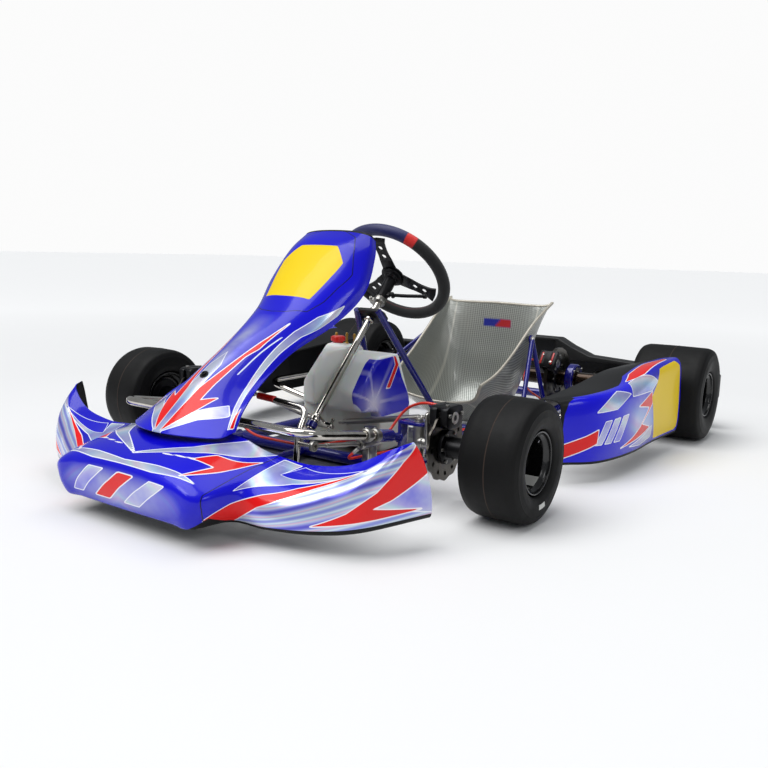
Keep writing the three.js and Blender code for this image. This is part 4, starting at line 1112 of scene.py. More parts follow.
# ------------------------------------------------------------------ bars and tray
piece("bumper_bar_upper", tube([(275, -84.3, 148), (275, -320, 190), (-275, -320, 190), (-275, -84.3, 148)],
                               10, 50, 8, 28), "chassis", CHROME, "front_bumper_upper")
piece("bumper_bar_lower", tube([(190, -295, 56), (190, -404, 62), (-190, -404, 62), (-190, -295, 56)],
                               8, 50, 8, 24), "chassis", CHROME, "front_bumper_lower")
for side, sign in SIDES.items():
    bar = tube([(311, 452, 62), (520, 424, 118), (520, 770, 118), (311, 742, 62)], 9, 60, 8, 24)
    piece(f"side_bar_{side}", sided(bar, sign), "chassis", CHROME, f"side_bumper_{side}")
    clamps = [together(turned([(-7, 10.4), (7, 10.4), (8, 12), (7, 15), (-7, 15), (-8, 12)], (275, y, z),
                              (0, -1, 0.18), 32), cap_screw((275, y, z + 14), UP, 4, 4))
              for y, z in ((-96, 150), (-128, 156))]
    piece(f"bumper_clamp_{side}", sided(together(*clamps), sign), "chassis", STEEL)
    bracket = tube([(262, 1190.3, 56), (262, 1214, 56), (262, 1240, 132), (262, 1291.7, 132)], 10, 30, 8, 24)
    piece(f"bumper_stay_{side}", sided(bracket, sign), "chassis", STEEL, f"rear_bumper_bracket_{side}")
piece("panel_hoop", tube([(52, 16, 505), (30, 104, 424), (-30, 104, 424), (-52, 16, 505)], 6, 30, 6),
      "chassis", STEEL, "panel_bracket")
tray_ribs = [moved(plate(oblong(300, 6, 2.8), 1.6, 0.6), (0, y, 40.2)) for y in range(-200, 400, 60)]
tray_screws = [cap_screw((x, y, 40.6), UP, 5, 2.4) for x in (-186, 186) for y in (-280, -100, 80, 260, 430)]
piece("tray_plate", together(moved(plate(oblong(392, 742, 24), 3, 0.7), (0, 75, 37.7)), *tray_ribs),
      "chassis", SHEET_METAL, "floor_tray")
piece("tray_screws", together(*tray_screws), "chassis", STEEL)


def seat_stay(name, rail_x, top_x, node):
    """Two tubes from the side rail to one lug on the seat's flank, with its through bolt."""
    inward = np.sign(SEAT_X - top_x)
    lug = (top_x, 742, 292)
    parts = []
    for y in (596, 752):
        parts += [rod((rail_x, y, 71.3), (rail_x, y, 75.3), 12), weld((rail_x, y, 76), UP, 7),
                  tube([(rail_x, y, 73), (rail_x, y, 99), lug], 7, 20, 8)]
    parts += [rod(lug, (top_x + inward * 6, 742, 292), 13, 28)]
    piece(name, together(*parts), "chassis", BLUE, node)
    washer = turned([(-1.0, 4), (1.0, 4), (1.0, 10), (-1.0, 10)], (top_x - inward * 0.6, 742, 292),
                    ACROSS, 32)
    piece(name + "_bolt", together(hex_nut(lug, (-inward, 0, 0), 13, 6), washer), "chassis", STEEL)


seat_stay("stay_left", 292, 246, "seat_stay_left")
seat_stay("stay_right", -292, -116, "seat_stay_right")
softened("rear_guard", "rear_bumper", "chassis", PLASTIC, 7.0)

# ------------------------------------------------------------------ fuel tank
TANK_MARKS = {
    "sticker": [(80, 279), (180, 284), (194, 262), (212, 226), (258, 160), (238, 138), (82, 136), (60, 148),
                (28, 203), (42, 243)],
    "stripe": [(172, 284), (190, 282), (196, 262), (160, 206), (143, 206), (180, 262)],
}
STICKER_FROM_X = 108
BURST_AT = (92, 176)


def wedge(x0, x1, y0, y1, z0, z1):
    """A block between two values along each axis; a bound along Y may be a function of the
    other two, to slope that side."""
    points = []
    for k in range(8):
        x, y, z = (x1 if k & 1 else x0), (y1 if k & 2 else y0), (z1 if k & 4 else z0)
        points.append((x, y(x, z) if callable(y) else y, z))
    faces = [(0, 2, 3, 1), (4, 5, 7, 6), (0, 1, 5, 4), (2, 6, 7, 3), (0, 4, 6, 2), (1, 3, 7, 5)]
    return np.array(points, float), faces


TANK_CUTS = [
    wedge(23, 200, -500, lambda x, z: -62 - 1.5 * x + 0.939 * z, 30, 330),
    wedge(-40, 200, lambda x, z: 196 + (288 - z) * 0.49, 600, 60, 330),
    wedge(-200, -22, -500, lambda x, z: (1.05 * (z - 200) - 40) - 1.45 * x, 200, 330),
]


def tank_shell():
    """The tank, with the printed panel's distances and a starburst round one place on it."""
    tank = softened("tank_shell", "fuel_tank", "chassis", TANK, voxel=4.0, rounds=22, cuts=TANK_CUTS)
    co = np.zeros(len(tank.data.vertices) * 3)
    tank.data.vertices.foreach_get("co", co)
    x, y, z = ((co.reshape(-1, 3) - FRONT_AXLE) * 1000).T
    ones = np.ones(len(x))
    marks = {label: np.where(x > STICKER_FROM_X, depth_in(corners, y, z, ones, ones), -20.0)
             for label, corners in TANK_MARKS.items()}
    spread, far = np.arctan2(z - BURST_AT[1], y - BURST_AT[0]), np.hypot(z - BURST_AT[1], y - BURST_AT[0])
    rays = np.clip(np.cos(spread * 7) - 0.82, 0, 1) * 5 * np.exp(-far / 70)
    marks["burst"] = np.clip(np.exp(-(far / 34)**2) + rays, 0, 1)
    put_marks(tank.data, marks)


tank_shell()
CAP_X, CAP_Y = -86, 232
cap = turned(bent([(298.3, 0.01), (298.3, 19.6), (309, 18.2), (312.3, 15.5), (312.3, 0.01)], 2, 4),
             (CAP_X, CAP_Y, 0), UP, 48, closed=False)
knurls = [moved(block(-1.2, 1.2, -1.5, 1.0, 300, 310, 0.5), (CAP_X + dx, CAP_Y + dy, 0))
          for dx, dy in round_circle(16, 18.2)]
piece("filler_cap", together(together(cap, *knurls), rod((CAP_X, CAP_Y, 278.3), (CAP_X, CAP_Y, 300), 14, 32)),
      "cap", RED, "fuel_cap")
nipples = [together(rod((x, y, 280), (x, y, 318), 3.2), rod((x, y, 284), (x, y, 292), 6),
                    turned([(0, 2), (3, 2), (4, 4.4), (0, 4.4)], (x, y, 310), UP, 24))
           for x, y in ((-112, 258), (-84, 268), (-54, 262))]
piece("tank_nipples", together(*nipples), "chassis", BRASS)

# ------------------------------------------------------------------ steering
COLUMN_WAY = (0, math.cos(COLUMN_TILT), math.sin(COLUMN_TILT))
PITMAN_AT = -478
shaft = rod(column_point(-516), column_point(-62), 9, 28, 0.8)
collars = [spun([(-5, 8.8), (5, 8.8), (5, 13), (-5, 13)], 1.2, column_point(h), COLUMN_WAY, 36)
           for h in (-486, -166, -138)]
arm = on_column(moved(cut_plate([(-12, -10), (12, -10), (12, 24), (32, 28), (32, 45), (-32, 45), (-32, 28),
                                 (-12, 24)], 5, 8, 1, 4), (0, 0, -4)), PITMAN_AT)
pins = [on_column(together(rod((x, 36, 0), (x, 36, 16), 4), hex_nut((x, 36, 16), UP, 10, 4.5),
                           hex_nut((x, 36, -4), (0, 0, -1), 10, 4)), PITMAN_AT) for x in (-22, 22)]
piece("column_shaft", together(shaft, *collars, arm, *pins), "steering", CHROME, "steering_column")
sleeve = on_column(together(rod((0, 0, -92), (0, 0, -26), 16, 32, 1.5), block(8, 24, -5, 5, -84, -72, 1.2)))
flange = on_wheel(spun([(-30, 4), (-30, 19), (-22, 20), (-19, 30), (-13.8, 30), (-13.8, 4)], 2,
                       axis=UP, sides=48, steps=4))
piece("wheel_boss", together(sleeve, flange), "steering", ALLOY, "steering_hub")
hub_screws = [on_wheel(cap_screw((24 * math.cos(a), 24 * math.sin(a), -8.5), UP, 3.6, 3.4))
              for a in (0.5, 2.6, 4.7)]
hub_nut = on_wheel(hex_nut((0, 0, -8.5), UP, 17, 8))
clamp = on_column(together(
    spun([(-108, 9.4), (-93, 9.4), (-93, 17), (-108, 17)], 1.5, axis=UP, sides=40),
    block(-30, -12, -9, 9, -106, -95, 1.6), cap_screw((-23, -9, -100.5), (0, -1, 0), 4.2, 5),
    hex_nut((-23, 9, -100.5), BACK, 11, 5)))
piece("column_clamp", clamp, "steering", STEEL)
piece("wheel_screws", together(*hub_screws, hub_nut), "steering", STEEL)


def spoke_plate():
    """Three flat spokes, each of two pierced tiles and a root, round a centre disc."""
    parts = [moved(cut_plate(round_circle(24, 34), 3, 5, 0.8, 2), (0, 0, -13.5))]
    root = [(20, -21), (54.5, -18.4), (54.5, 18.4), (20, 21)]
    foot = [(109.5, -18.4), (126, -26), (129, 0), (126, 26), (109.5, 18.4)]
    for angle in (-math.pi / 2, math.pi / 6, 5 * math.pi / 6):
        spoke = []
        for x0, x1, hole, end in ((54, 82, 68, "start"), (82, 110, 96, "end")):
            def border(a, b, x0=x0, x1=x1):
                x = (x0 + x1) / 2 + a * (x1 - x0) / 2
                return np.stack([x, b * (15.5 + 3 * ((x - 82) / 28)**2)], 1)
            tile = pierced(border, (hole, 0), 7, 2.5, ("low", "high", end))
            spoke.append(moved(tile, (0, 0, -11)))
        spoke += [moved(cut_plate(outline, 1, 5, 0.6, 2), (0, 0, -13.5)) for outline in (root, foot)]
        parts.append(about(together(*spoke), UP, angle))
    return on_wheel(together(*parts))


piece("wheel_spokes", spoke_plate(), "steering", ALLOY, "steering_spokes")
GRIP_REACH = 147.5


def grip_ring():
    """A round section turned about the wheel's axis, a little fuller over the top."""
    around, section = 160, 28
    a = np.linspace(0, 2 * np.pi, around, endpoint=False)[:, None]
    b = np.linspace(0, 2 * np.pi, section, endpoint=False)[None, :]
    size = 16.2 + 0.3 * np.cos(2 * a)
    reach = GRIP_REACH + size * np.cos(b)
    grid = np.stack(np.broadcast_arrays(reach * np.cos(a), reach * np.sin(a), size * np.sin(b)), -1)
    part = on_wheel(shape(grid.reshape(-1, 3), quads(around, section, True, True)))
    from_top = np.abs((a + math.pi / 2 + math.pi) % (2 * math.pi) - math.pi)
    marks = {"arc": np.broadcast_to(from_top, grid.shape[:2]).ravel(),
             "stitch": np.broadcast_to((np.abs(b) - math.pi) * 16.5, grid.shape[:2]).ravel()}
    piece("wheel_grip", part, "steering", SUEDE, "steering_rim", marks=marks)


grip_ring()
lever = together(on_column(rod((31, -7, -78), (31, 7, -78), 6)),
                 on_column(tube([(33, 0, -78), (66, 4, -75), (130, 8, -68)], 4.6, 30, 5)),
                 on_column(rod((120, 7.2, -69.4), (130, 8, -68), 6.6, 24, 1.5)))
piece("clutch_handle", lever, "clutch", ALLOY, "clutch_lever")


# ------------------------------------------------------------------ wheels
def tyre(name, size, y, body, node, side):
    """Slick tyre: its section, with round shoulders, shallow ribs on the walls and a moulding
    seam on the crown, turned about the axle. The marks are the turn and the place across."""
    r, h, bead = size["radius"], size["half"], size["rim"]
    outside = [(-h + 13, bead + 2), (-h + 6, bead + 5), (-h + 0.8, r * 0.66), (-h + 0.2, r * 0.72),
               (-h, r * 0.74), (-h + 0.4, r * 0.76), (-h + 1.6, r * 0.84), (-h + 1.2, r * 0.85),
               (-h + 2.0, r * 0.86), (-h + 7, r * 0.955), (-h + 22, r - 1.0), (-h * 0.3, r - 0.3),
               (-0.9, r - 0.2), (0, r + 0.5)]
    right = [(-a, b) for a, b in outside[-2::-1]]
    inside = [(h - 20, bead + 2), (h - 12, r * 0.72), (h - 26, r - 9), (-h + 26, r - 9), (-h + 12, r * 0.72),
              (-h + 20, bead + 2)]
    section = bent([*outside, *right, *inside], 5, 4, closed=True)
    sides = 128
    part = turned(section, (size["centre"], y, r), ACROSS, sides)
    marks = {"turn": np.repeat(np.arange(sides) * 2 * np.pi / sides, len(section)),
             "across": np.tile(section[:, 0] / 1000, sides)}
    piece(name, sided(part, side), body, RUBBER, node, marks=marks)


def rim(name, size, y, body, node, side):
    """Deep-dished rim: a spun shell with rolled lips, its disc with a round of bolts, and a valve."""
    x, h, r, d, z = size["centre"], size["half"] - 10, size["rim"], size["plate"], size["radius"]
    shell = spun([(-h, r), (-h + 5, r), (-h + 12, r - 9), (h - 12, r - 9), (h - 5, r), (h, r), (h + 1, r - 2),
                  (h, r - 4), (h - 6, r - 5), (h - 13, r - 13), (d + 8, r - 13.5), (d + 5, r - 20),
                  (d + 5, size["hole"]), (d - 5, size["hole"]), (d - 5, r - 18), (d - 8, r - 13.5),
                  (-h + 13, r - 13), (-h + 6, r - 5), (-h, r - 4), (-h - 1, r - 2)],
                 2.4, (x, y, z), sides=96, steps=4)
    valve = together(rod((x + h - 22, y, z + r - 14), (x + h - 6, y, z + r - 20), 2.6),
                     rod((x + h - 8, y, z + r - 19.5), (x + h - 2, y, z + r - 21.5), 3.4))
    bolts = []
    for dy, dz in round_circle(3 if r - size["hole"] > 38 else 6, 38, 0.4):
        at = (x + d + 5, y + dy, z + dz)
        bolts += [hex_nut(at, ACROSS, 13, 7), rod(at, np.add(at, (11, 0, 0)), 4)]
    piece(name, sided(together(shell, valve), side), body, RIM, node)
    piece(name + "_bolts", sided(together(*bolts), side), body, STEEL)


def disc_piece(name, centre, ring_sizes, body, node):
    """A drilled ring laid across the axle; its mark is the distance from the axle in metres."""
    part = laid(drilled_ring(*ring_sizes), centre, BACK, UP)
    reach = np.hypot(part[0][:, 1] - centre[1], part[0][:, 2] - centre[2]) / 1000
    piece(name, part, body, DISC, node, marks={"reach": reach}, weld=True)


def caliper(name, centre, inner, outer, width, slot, turn, body, node, side):
    """Two rounded halves over a disc's edge, joined by a bridge and two bolts, with pistons,
    pads, a bleed nipple and the hose's banjo bolt."""
    half, middle = (width - slot) / 2, (inner + outer) / 2
    cheek = cut_plate([(-34, inner + 8), (-22, inner), (22, inner), (34, inner + 8), (34, outer - 6),
                       (24, outer), (-24, outer), (-34, outer - 6)], 6, half, 2)
    parts = [upright(moved(cheek, (0, 0, s * (slot / 2 + half / 2) - half / 2))) for s in (-1, 1)]
    parts += [block(-width / 2 + 3, width / 2 - 3, -30, 30, outer - 9, outer - 1, 2.5)]
    fittings = []
    for s in (-1, 1):
        fittings += [cap_screw((width / 2, s * 25, middle + 6), ACROSS, 4.5, 4),
                     turned([(-0.5, 6), (1.2, 7), (1.2, 13), (-0.5, 14)], (s * width / 2, 0, middle - 2),
                            (s, 0, 0), 36)]
    fittings += [rod((-width / 4, 12, outer - 2), (-width / 4, 12, outer + 4), 2.6),
                 hex_nut((width / 4, -14, outer - 1), UP, 9, 4)]
    pads = [block(s * (slot / 2 - 0.2) - 1.2, s * (slot / 2 - 0.2) + 1.2, -24, 24, inner + 4, outer - 14, 0.6)
            for s in (-1, 1)]

    def put(shapes):
        return sided(moved(about(together(*shapes), ACROSS, turn), centre), side)
    piece(name, put(parts), body, ALLOY, node)
    piece(name + "_bolts", put(fittings), body, STEEL)
    piece(name + "_pads", put(pads), body, PAD)


HOSE_RADIUS, CRIMP_RADIUS, CRIMP = 3.2, 4.6, 16


def hose(name, corners, node, bends=None):
    """Sleeved brake hose on one smooth bend after another, with crimped ends. It rides on the
    chassis, or, where bends is given, on no body; the other body and the two places in bends are not used."""
    path = even(bent(corners, 40, 10), 4)
    run = np.concatenate([[0], np.cumsum(np.linalg.norm(np.diff(path, axis=0), axis=1))])
    crimped = np.minimum(run, run[-1] - run) < CRIMP
    sides = 16
    part = pipe(path, np.where(crimped, CRIMP_RADIUS, HOSE_RADIUS), sides)
    marks = {"along": np.repeat(run / 1000, sides), "end": np.repeat(crimped.astype(float), sides),
             "turn": np.tile(np.arange(sides) * 2 * np.pi / sides, len(run))}
    made = piece(name, part, None if bends else "chassis", HOSE, node, marks=marks, crease=70)
    if bends:
        other, start, end = bends
        metres([start])[0].tolist()
        metres([end])[0].tolist()
        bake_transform(made)


PIN_AT = np.array([311.0, 90.0, 156.0])
FRONT_DISC_X = 392


def track_rod_end():
    """The pin on the steering arm: down the arm from its place on the column."""
    down = np.array([0, math.sin(COLUMN_TILT), -math.cos(COLUMN_TILT)])
    return column_point(-468) + [22, 0, 0] + 36 * down


def stub_axle(side, sign):
    """The stub axle with its kingpin barrel, steering arm and caliper lug, and the bolts."""
    z = FRONT["radius"]
    barrel = spun([(90.3, 5.4), (90.3, 12), (94, 13.4), (161, 13.4), (165.7, 12), (165.7, 5.4)], 1.5,
                  (KINGPIN, 0, 0), UP, 40)
    arm = moved(cut_plate([(303, -8), (325, -8), (325, 12), (319, 30), (319, 84), (319, 98), (303, 98),
                           (303, 60)], 7, 8, 1.6), (0, 0, 148))
    lug = upright(cut_plate([(-20, 128), (20, 128), (24, 196), (18, 200), (-18, 200), (-24, 196)],
                            4, 7, 1.2, 4), 352)
    parts = [barrel, arm, lug, rod((325, 0, z), (545, 0, z), 8.5, 32),
             rod((325, 0, z), (362, 0, z), 14, 32, 2), block(356, 369.4, -18, 18, 176, 200, 1.5),
             weld((338, 0, z), ACROSS, 13)]
    piece(f"stub_axle_{side}", sided(together(*parts), sign), f"spindle_{side}", STEEL, f"spindle_{side}")
    joint = together(rod(PIN_AT, PIN_AT + [0, 0, 24], 4), hex_nut(PIN_AT + [0, 0, 20.4], UP, 10, 5),
                     hex_nut(PIN_AT - [0, 0, 8], (0, 0, -1), 10, 5), rod((545, 0, z), (549, 0, z), 6.5, 24),
                     hex_nut((540.4, 0, z), ACROSS, 19, 8))
    piece(f"arm_bolt_{side}", sided(joint, sign), f"spindle_{side}", STEEL)
    pivot = together(rod((KINGPIN, 0, 74), (KINGPIN, 0, 181), 5), hex_nut((KINGPIN, 0, 172.3), UP, 17, 8),
                     hex_nut((KINGPIN, 0, 83.7), (0, 0, -1), 17, 9),
                     turned([(-0.1, 6), (1.4, 6), (1.4, 12), (-0.1, 12)], (KINGPIN, 0, 172.2), UP, 36))
    piece(f"kingpin_bolt_{side}", sided(pivot, sign), "chassis", STEEL, f"kingpin_{side}")


def front_wheel(side, sign):
    """Hub, drilled disc, tyre and rim, which turn on the stub axle, and the caliper over the disc."""
    turning, z = f"wheel_{side}", FRONT["radius"]
    face = FRONT["centre"] + FRONT["plate"] - 5.3
    hub = spun([(376, 8.8), (540, 8.8), (540, 20), (536, 22), (face + 4, 23.5), (face, 24), (face, 44),
                (face - 7, 44), (face - 8, 26), (404, 23), (404, 38), (394.8, 38), (394.8, 30), (376, 30)],
               1.6, (0, 0, z))
    screws = [cap_screw((404, dy, z + dz), ACROSS, 3.6, 3.6) for dy, dz in round_circle(6, 33)]
    piece(f"wheel_hub_{side}", sided(hub, sign), turning, ALLOY, f"front_hub_{side}")
    piece(f"disc_screws_{side}", sided(together(*screws), sign), turning, STEEL)
    disc_piece(f"disc_front_{side}", (sign * FRONT_DISC_X, 0, z), (31, 73.6, 12, 4.6, 59, 2.4, 2.2, 12),
               turning, f"front_disc_{side}")
    caliper(f"caliper_front_{side}", (FRONT_DISC_X, 0, z), 42, 92, 44, 9, 0, f"spindle_{side}",
            f"front_caliper_{side}", sign)
    tyre(f"slick_front_{side}", FRONT, 0, turning, f"front_tyre_{side}", sign)
    rim(f"rim_front_{side}", FRONT, 0, turning, f"front_rim_{side}", sign)


def tie_rod(side, sign):
    """The track rod: a thin bar in a thicker sleeve, with an eye and two lock nuts."""
    outer = PIN_AT + [0, 0, 12]
    way = track_rod_end() - outer
    length = np.linalg.norm(way)
    way = way / length

    def at(part):
        return outer + way * length * part
    bar = together(rod(outer + way * 16, at(0.92), 4.6), rod(at(0.14), at(0.84), 7.5, 24, 2),
                   ball_joint(outer, UP, way, 9.6), hex_nut(at(0.11), way, 11, 5),
                   hex_nut(at(0.87), way, 11, 5))
    piece(f"tie_rod_{side}", sided(bar, sign), f"rod_{side}", STEEL, f"track_rod_{side}")


for side, sign in SIDES.items():
    stub_axle(side, sign)
    front_wheel(side, sign)
    tie_rod(side, sign)


def tyre_tag():
    """A plain pale patch that stands just off the left front tyre's outer wall."""
    turn, tall = np.meshgrid(np.linspace(-0.15, 0.15, 16) + 0.08, np.linspace(84, 94, 6), indexing="ij")
    wall = FRONT["half"] - 0.2 - np.abs(tall - 94.7) * 0.06
    face = np.stack([FRONT["centre"] + wall + 0.5, tall * np.sin(turn),
                     FRONT["radius"] - tall * np.cos(turn)], -1)
    n, m = face.shape[:2]
    size, edge = n * m, [*range(0, n * m, m), *range(n * m - m + 1, n * m), *range(n * m - m - 1, m - 2, -m),
                         *range(m - 2, 0, -1)]
    faces = [*quads(n, m).tolist(), *(quads(n, m)[:, ::-1] + size).tolist()]
    faces += [(a, b, b + size, a + size) for a, b in zip(edge, edge[1:] + edge[:1])]
    return np.concatenate([face.reshape(-1, 3), (face - [1.2, 0, 0]).reshape(-1, 3)]), faces


def barrel_tag():
    """A plain pale patch laid along the inside of the left front rim's barrel."""
    reach, steps = FRONT["rim"] - 13.6, 14
    section = [(14, reach), (43, reach), (43, reach + 0.9), (14, reach + 0.9)]
    grid = np.array([[(FRONT["centre"] + x, -r * math.sin(a), FRONT["radius"] - r * math.cos(a))
                      for x, r in section] for a in np.linspace(-0.75, -0.2, steps)])
    faces = [*quads(steps, 4, ring_m=True).tolist(), (3, 2, 1, 0), tuple(range(steps * 4 - 4, steps * 4))]
    return grid.reshape(-1, 3), faces


piece("tyre_tag_left", tyre_tag(), "wheel_left", LABEL, weld=True)
piece("rim_tag_left", barrel_tag(), "wheel_left", LABEL, weld=True)

# ------------------------------------------------------------------ rear axle
HEIGHT = REAR["radius"]
ON_AXLE = (0, AXLE_Y, HEIGHT)
REAR_DISC_AT, CALIPER_TURN = (205, AXLE_Y, HEIGHT), 0.9
tube_axle = spun([(-520, 22.2), (520, 22.2), (520, 25), (-520, 25)], 1, ON_AXLE)
keys = [block(x0, x1, AXLE_Y - 3, AXLE_Y + 3, HEIGHT + 22, HEIGHT + 24.9, 0.8)
        for x0, x1 in ((300, 400), (-400, -300))]
piece("axle_shaft", together(tube_axle, *keys), "axle", AXLE, "rear_axle")


def rear_corner(side, sign):
    """One bearing in its hanger, and the hub, tyre and rim on that end of the axle."""
    stand = upright(cut_plate([(AXLE_Y - 62, 72), (AXLE_Y + 62, 72), (AXLE_Y + 52, 116), (AXLE_Y + 44, 132),
                               (AXLE_Y - 44, 132), (AXLE_Y - 52, 116)], 8, 8, 1.4), 258)
    bearing_at = (262, AXLE_Y, HEIGHT)
    housing = spun([(-14, 40), (14, 40), (14, 46), (10, 50), (-10, 50), (-14, 46)], 1.5, bearing_at)
    race = spun([(-9, 26), (9, 26), (11, 30), (9, 39.8), (-9, 39.8), (-11, 30)], 1, bearing_at)
    feet = [hex_nut((267, AXLE_Y + dy, 90), ACROSS, 13, 6) for dy in (-44, 44)]
    caps = [cap_screw((276, AXLE_Y + 45 * math.cos(a), HEIGHT + 45 * math.sin(a)), ACROSS, 3.6, 3.4)
            for a in (0.8, 2.4, 4.0, 5.5)]
    hanger = together(stand, housing, weld((262, AXLE_Y - 56, 72), BACK, 5))
    piece(f"axle_hanger_{side}", sided(hanger, sign), "chassis", BLUE, f"bearing_hanger_{side}")
    piece(f"axle_bearing_{side}", sided(together(race, *feet, *caps), sign), "chassis", STEEL)
    face = REAR["centre"] + REAR["plate"] - 5.3
    hub = spun([(440, 25.3), (face + 30, 25.3), (face + 30, 30), (face + 1, 31), (face, 33), (face, 48),
                (face - 8, 48), (face - 9, 36), (face - 20, 33.5), (440, 33)], 1.6, ON_AXLE)
    pinch = [cap_screw((452, AXLE_Y + 14 * s, HEIGHT + 33), UP, 4, 4) for s in (-1, 1)]
    piece(f"axle_hub_{side}", sided(hub, sign), "axle", ALLOY, f"rear_hub_{side}")
    piece(f"axle_hub_screws_{side}", sided(together(*pinch), sign), "axle", STEEL)
    tyre(f"slick_rear_{side}", REAR, AXLE_Y, "axle", f"rear_tyre_{side}", sign)
    rim(f"rim_rear_{side}", REAR, AXLE_Y, "axle", f"rear_rim_{side}", sign)


for side, sign in SIDES.items():
    rear_corner(side, sign)
disc_piece("disc_rear", REAR_DISC_AT, (53, 98.6, 18, 4.2, 80, 5.6, 1.0, 18), "axle", "rear_disc")
carrier = spun([(171, 25.3), (213, 25.3), (213, 34), (209, 36), (209, 51.7), (201, 51.7), (201, 37),
                (171, 36)], 1.4, ON_AXLE)
drive = [cap_screw((209, AXLE_Y + dy, HEIGHT + dz), ACROSS, 4, 4) for dy, dz in round_circle(6, 45)]
piece("disc_hub", carrier, "axle", ALLOY, "disc_carrier")
piece("disc_hub_screws", together(*drive), "axle", STEEL)
caliper("caliper_rear", REAR_DISC_AT, 66, 116, 60, 16, CALIPER_TURN, "chassis", "rear_caliper", 1)
# Painted glint: two red strips across the rear caliper's bridge stand for a red glint line on it.
red_glint_strips = together(*[block(x - 3, x + 3, -22, 22, 114.5, 118.5, 1.2) for x in (-18, 18)])
piece("caliper_rear_glint_strips", moved(about(red_glint_strips, ACROSS, CALIPER_TURN), REAR_DISC_AT), "chassis", RED)

# ------------------------------------------------------------------ pedals and brakes
PEDAL = np.array([205.0, -262.0, 92.0])


def pedal_tube():
    """A chrome tube bent up from the pivot and across, with its boss."""
    x, y, z = PEDAL
    arm = tube([(x - 10, y, z), (x - 14, y + 14, z + 80), (x - 18, y + 46, 214), (46, y + 50, 224)],
               6.5, 34, 6)
    return together(arm, spun([(-20, 4), (12, 4), (12, 9), (-20, 9)], 1.5, PEDAL, sides=32))


pedal_lug = rod(PEDAL + [-14, 8, 58], PEDAL + [35, 8, 58], 4)
pedal_nuts = together(hex_nut(PEDAL + [12, 0, 0], ACROSS, 11, 5),
                      hex_nut(PEDAL - [20, 0, 0], (-1, 0, 0), 11, 5))
pedal_grip = rod((44, -212, 224), (96, -213.6, 221.7), 7.4, 24, 2)
piece("pedal_brake", together(pedal_tube(), pedal_lug), "brake", CHROME, "brake_pedal")
piece("pedal_throttle", mirrored(pedal_tube()), "throttle", CHROME, "throttle_pedal")
piece("pedal_nuts_brake", pedal_nuts, "brake", STEEL)
piece("pedal_nuts_throttle", mirrored(pedal_nuts), "throttle", STEEL)
piece("pedal_grip_brake", pedal_grip, "brake", RED)
piece("pedal_grip_throttle", mirrored(pedal_grip), "throttle", RED)
pull_from, pull_to = np.array([236.0, -244, 149]), np.array([236.0, -102, 126])
pull_way = pull_to - pull_from
pull_eye = spun([(-4, 6.2), (4, 6.2), (4, 11), (-4, 11)], 1, (236, -254, 150), sides=40)
pull_sleeve = rod(pull_from + pull_way * 0.25, pull_from + pull_way * 0.7, 5, 20)
piece("pull_bar", together(rod(pull_from, pull_to, 3.6), pull_eye,
                           hex_nut(pull_from + pull_way * 0.2, pull_way, 10, 6), pull_sleeve),
      "pull_rod", STEEL, "brake_pull_rod")
barrel = spun([(-100, 4), (-100, 11), (-94, 13), (-30, 13), (-24, 10), (-24, 4)], 2, (236, 0, 124), BACK, 36)
pot = spun([(0, 6), (0, 14), (4, 15), (25, 15), (26, 13.5), (26, 6)], 1.2, (236, -60, 126), UP, 40)
piece("master_body", together(together(barrel, block(226, 246, -78, -44, 73, 120, 2)), pot), "chassis", STEEL,
      "master_cylinder")
piece("master_lid", rod((236, -60, 151), (236, -60, 158), 14.6, 40, 1.4), "chassis", ALLOY)
PORT = np.array([369.7, 27, 208])
hose("hose_front_left", [(236, -22, 128), (238, 8, 134), (262, 40, 190), (320, 27, 212), PORT],
     "brake_hose_front_left", ("spindle_left", (262, 30, 190), (356, 30, 210)))
hose("hose_front_right", [(222.6, -40, 124), (180, -44, 118), (60, -60, 84), (-120, -60, 84),
                          (-236, -30, 130), (-262, 40, 190), (-320, 27, 212), PORT * MIRROR],
     "brake_hose_front_right", ("spindle_right", (-262, 30, 190), (-356, 30, 210)))
hose("hose_rear", [(222.6, -80, 112), (196, -96, 84), (236, 60, 84), (238, 300, 84), (256, 460, 84),
                   (256, 860, 84), (160, 890, 120), (120, 968, 201), (174.7, 968, 201)], "brake_hose_rear")

# ------------------------------------------------------------------ studio
FLOOR_HALF, FLOOR_Z = 40, -0.0005
floor_mesh = bpy.data.meshes.new("floor")
floor_corners = [(x * FLOOR_HALF, y * FLOOR_HALF, FLOOR_Z) for x, y in ((-1, -1), (1, -1), (1, 1), (-1, 1))]
floor_mesh.from_pydata(floor_corners, [], [(0, 1, 2, 3)])
floor = added("floor", floor_mesh)


def studio_floor():
    """Plain pale floor that glows a little with distance, so its far edge meets the backdrop."""
    f = Finish("studio_floor", Emission_Strength=1.0)
    x, y = f.part_of(f.where(), 0), f.part_of(f.where(), 1)
    far = (((x * x + y * y).power(0.5) - 1.8) * 0.3).held()
    f.gives(Base_Color=f.mix(f.noise(2.0), "eeeeee", "f0f0f0"), Roughness=0.75 + far * 0.1,
            Emission_Color=f.mix(far, "000000", "787878"))
    return f.material


floor_mesh.materials.append(studio_floor())


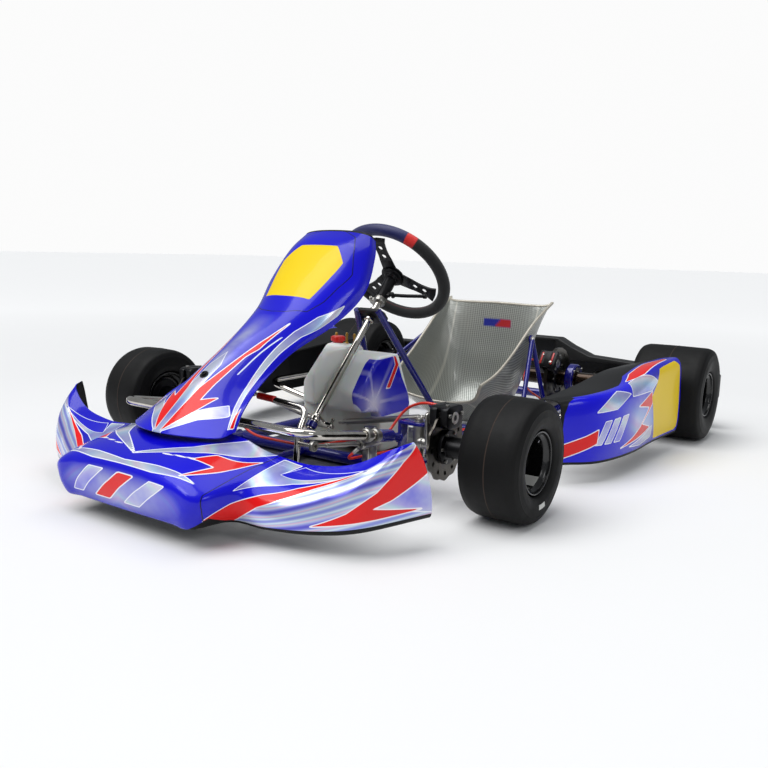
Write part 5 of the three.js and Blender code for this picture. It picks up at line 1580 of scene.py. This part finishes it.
def studio_world():
    """A white backdrop for the camera, and a faint cool light from all round for the rest."""
    world = bpy.data.worlds.new("studio")
    world.use_nodes = True
    nodes, links = world.node_tree.nodes, world.node_tree.links
    seen, lit = (nodes.new("ShaderNodeBackground") for _ in range(2))
    seen.inputs[0].default_value, seen.inputs[1].default_value = (1, 1, 1, 1), 0.97
    lit.inputs[0].default_value, lit.inputs[1].default_value = (0.9, 0.95, 1.0, 1), 0.3
    choice, ray = nodes.new("ShaderNodeMixShader"), nodes.new("ShaderNodeLightPath")
    links.new(ray.outputs["Is Camera Ray"], choice.inputs[0])
    links.new(lit.outputs[0], choice.inputs[1])
    links.new(seen.outputs[0], choice.inputs[2])
    links.new(choice.outputs[0], nodes["World Output"].inputs[0])
    bpy.context.scene.world = world


def soft_light(name, at, target, size, power):
    """A square area light that faces the target."""
    lamp = bpy.data.lights.new(name, "AREA")
    lamp.shape, lamp.size, lamp.energy = "SQUARE", size, power
    made = added(name, lamp)
    made.location = at
    made.rotation_euler = (Vector(target) - Vector(at)).to_track_quat("-Z", "Y").to_euler()


studio_world()
soft_light("key", (-1.4, -3.6, 3.0), (0, -0.2, 0.2), 1.5, 34)
soft_light("fill", (3.8, -1.4, 2.6), (0, 0, 0.2), 1.3, 22)
soft_light("top", (0.2, 0.8, 3.8), (0, 0, 0.1), 2.2, 26)
sun = bpy.data.lights.new("ceiling", "SUN")
sun.energy, sun.angle = 1.95, math.radians(50)
added("ceiling", sun).rotation_euler = (math.radians(18), math.radians(-14), 0)

# ------------------------------------------------------------------ camera
AZIMUTH, ELEVATION, ROLL = math.radians(34.625), math.radians(9.375), math.radians(1.5576)
CAMERA_AT = (1.2392, -1.8418, 0.5388)
ahead = Vector((-math.sin(AZIMUTH) * math.cos(ELEVATION), math.cos(AZIMUTH) * math.cos(ELEVATION),
                -math.sin(ELEVATION)))
level = Vector((math.cos(AZIMUTH), math.sin(AZIMUTH), 0))
above = level.cross(ahead)
right = math.cos(ROLL) * level + math.sin(ROLL) * above
up = -math.sin(ROLL) * level + math.cos(ROLL) * above
lens = bpy.data.cameras.new("camera")
lens.lens, lens.sensor_width, lens.clip_end = 37.67, 36.0, 200.0
stand = Matrix((right, up, -ahead)).transposed().to_4x4()
stand.translation = Vector(CAMERA_AT)
camera = added("camera", lens)
camera.matrix_world = stand
bpy.context.scene.camera = camera
bpy.context.scene.view_settings.view_transform = "Standard"
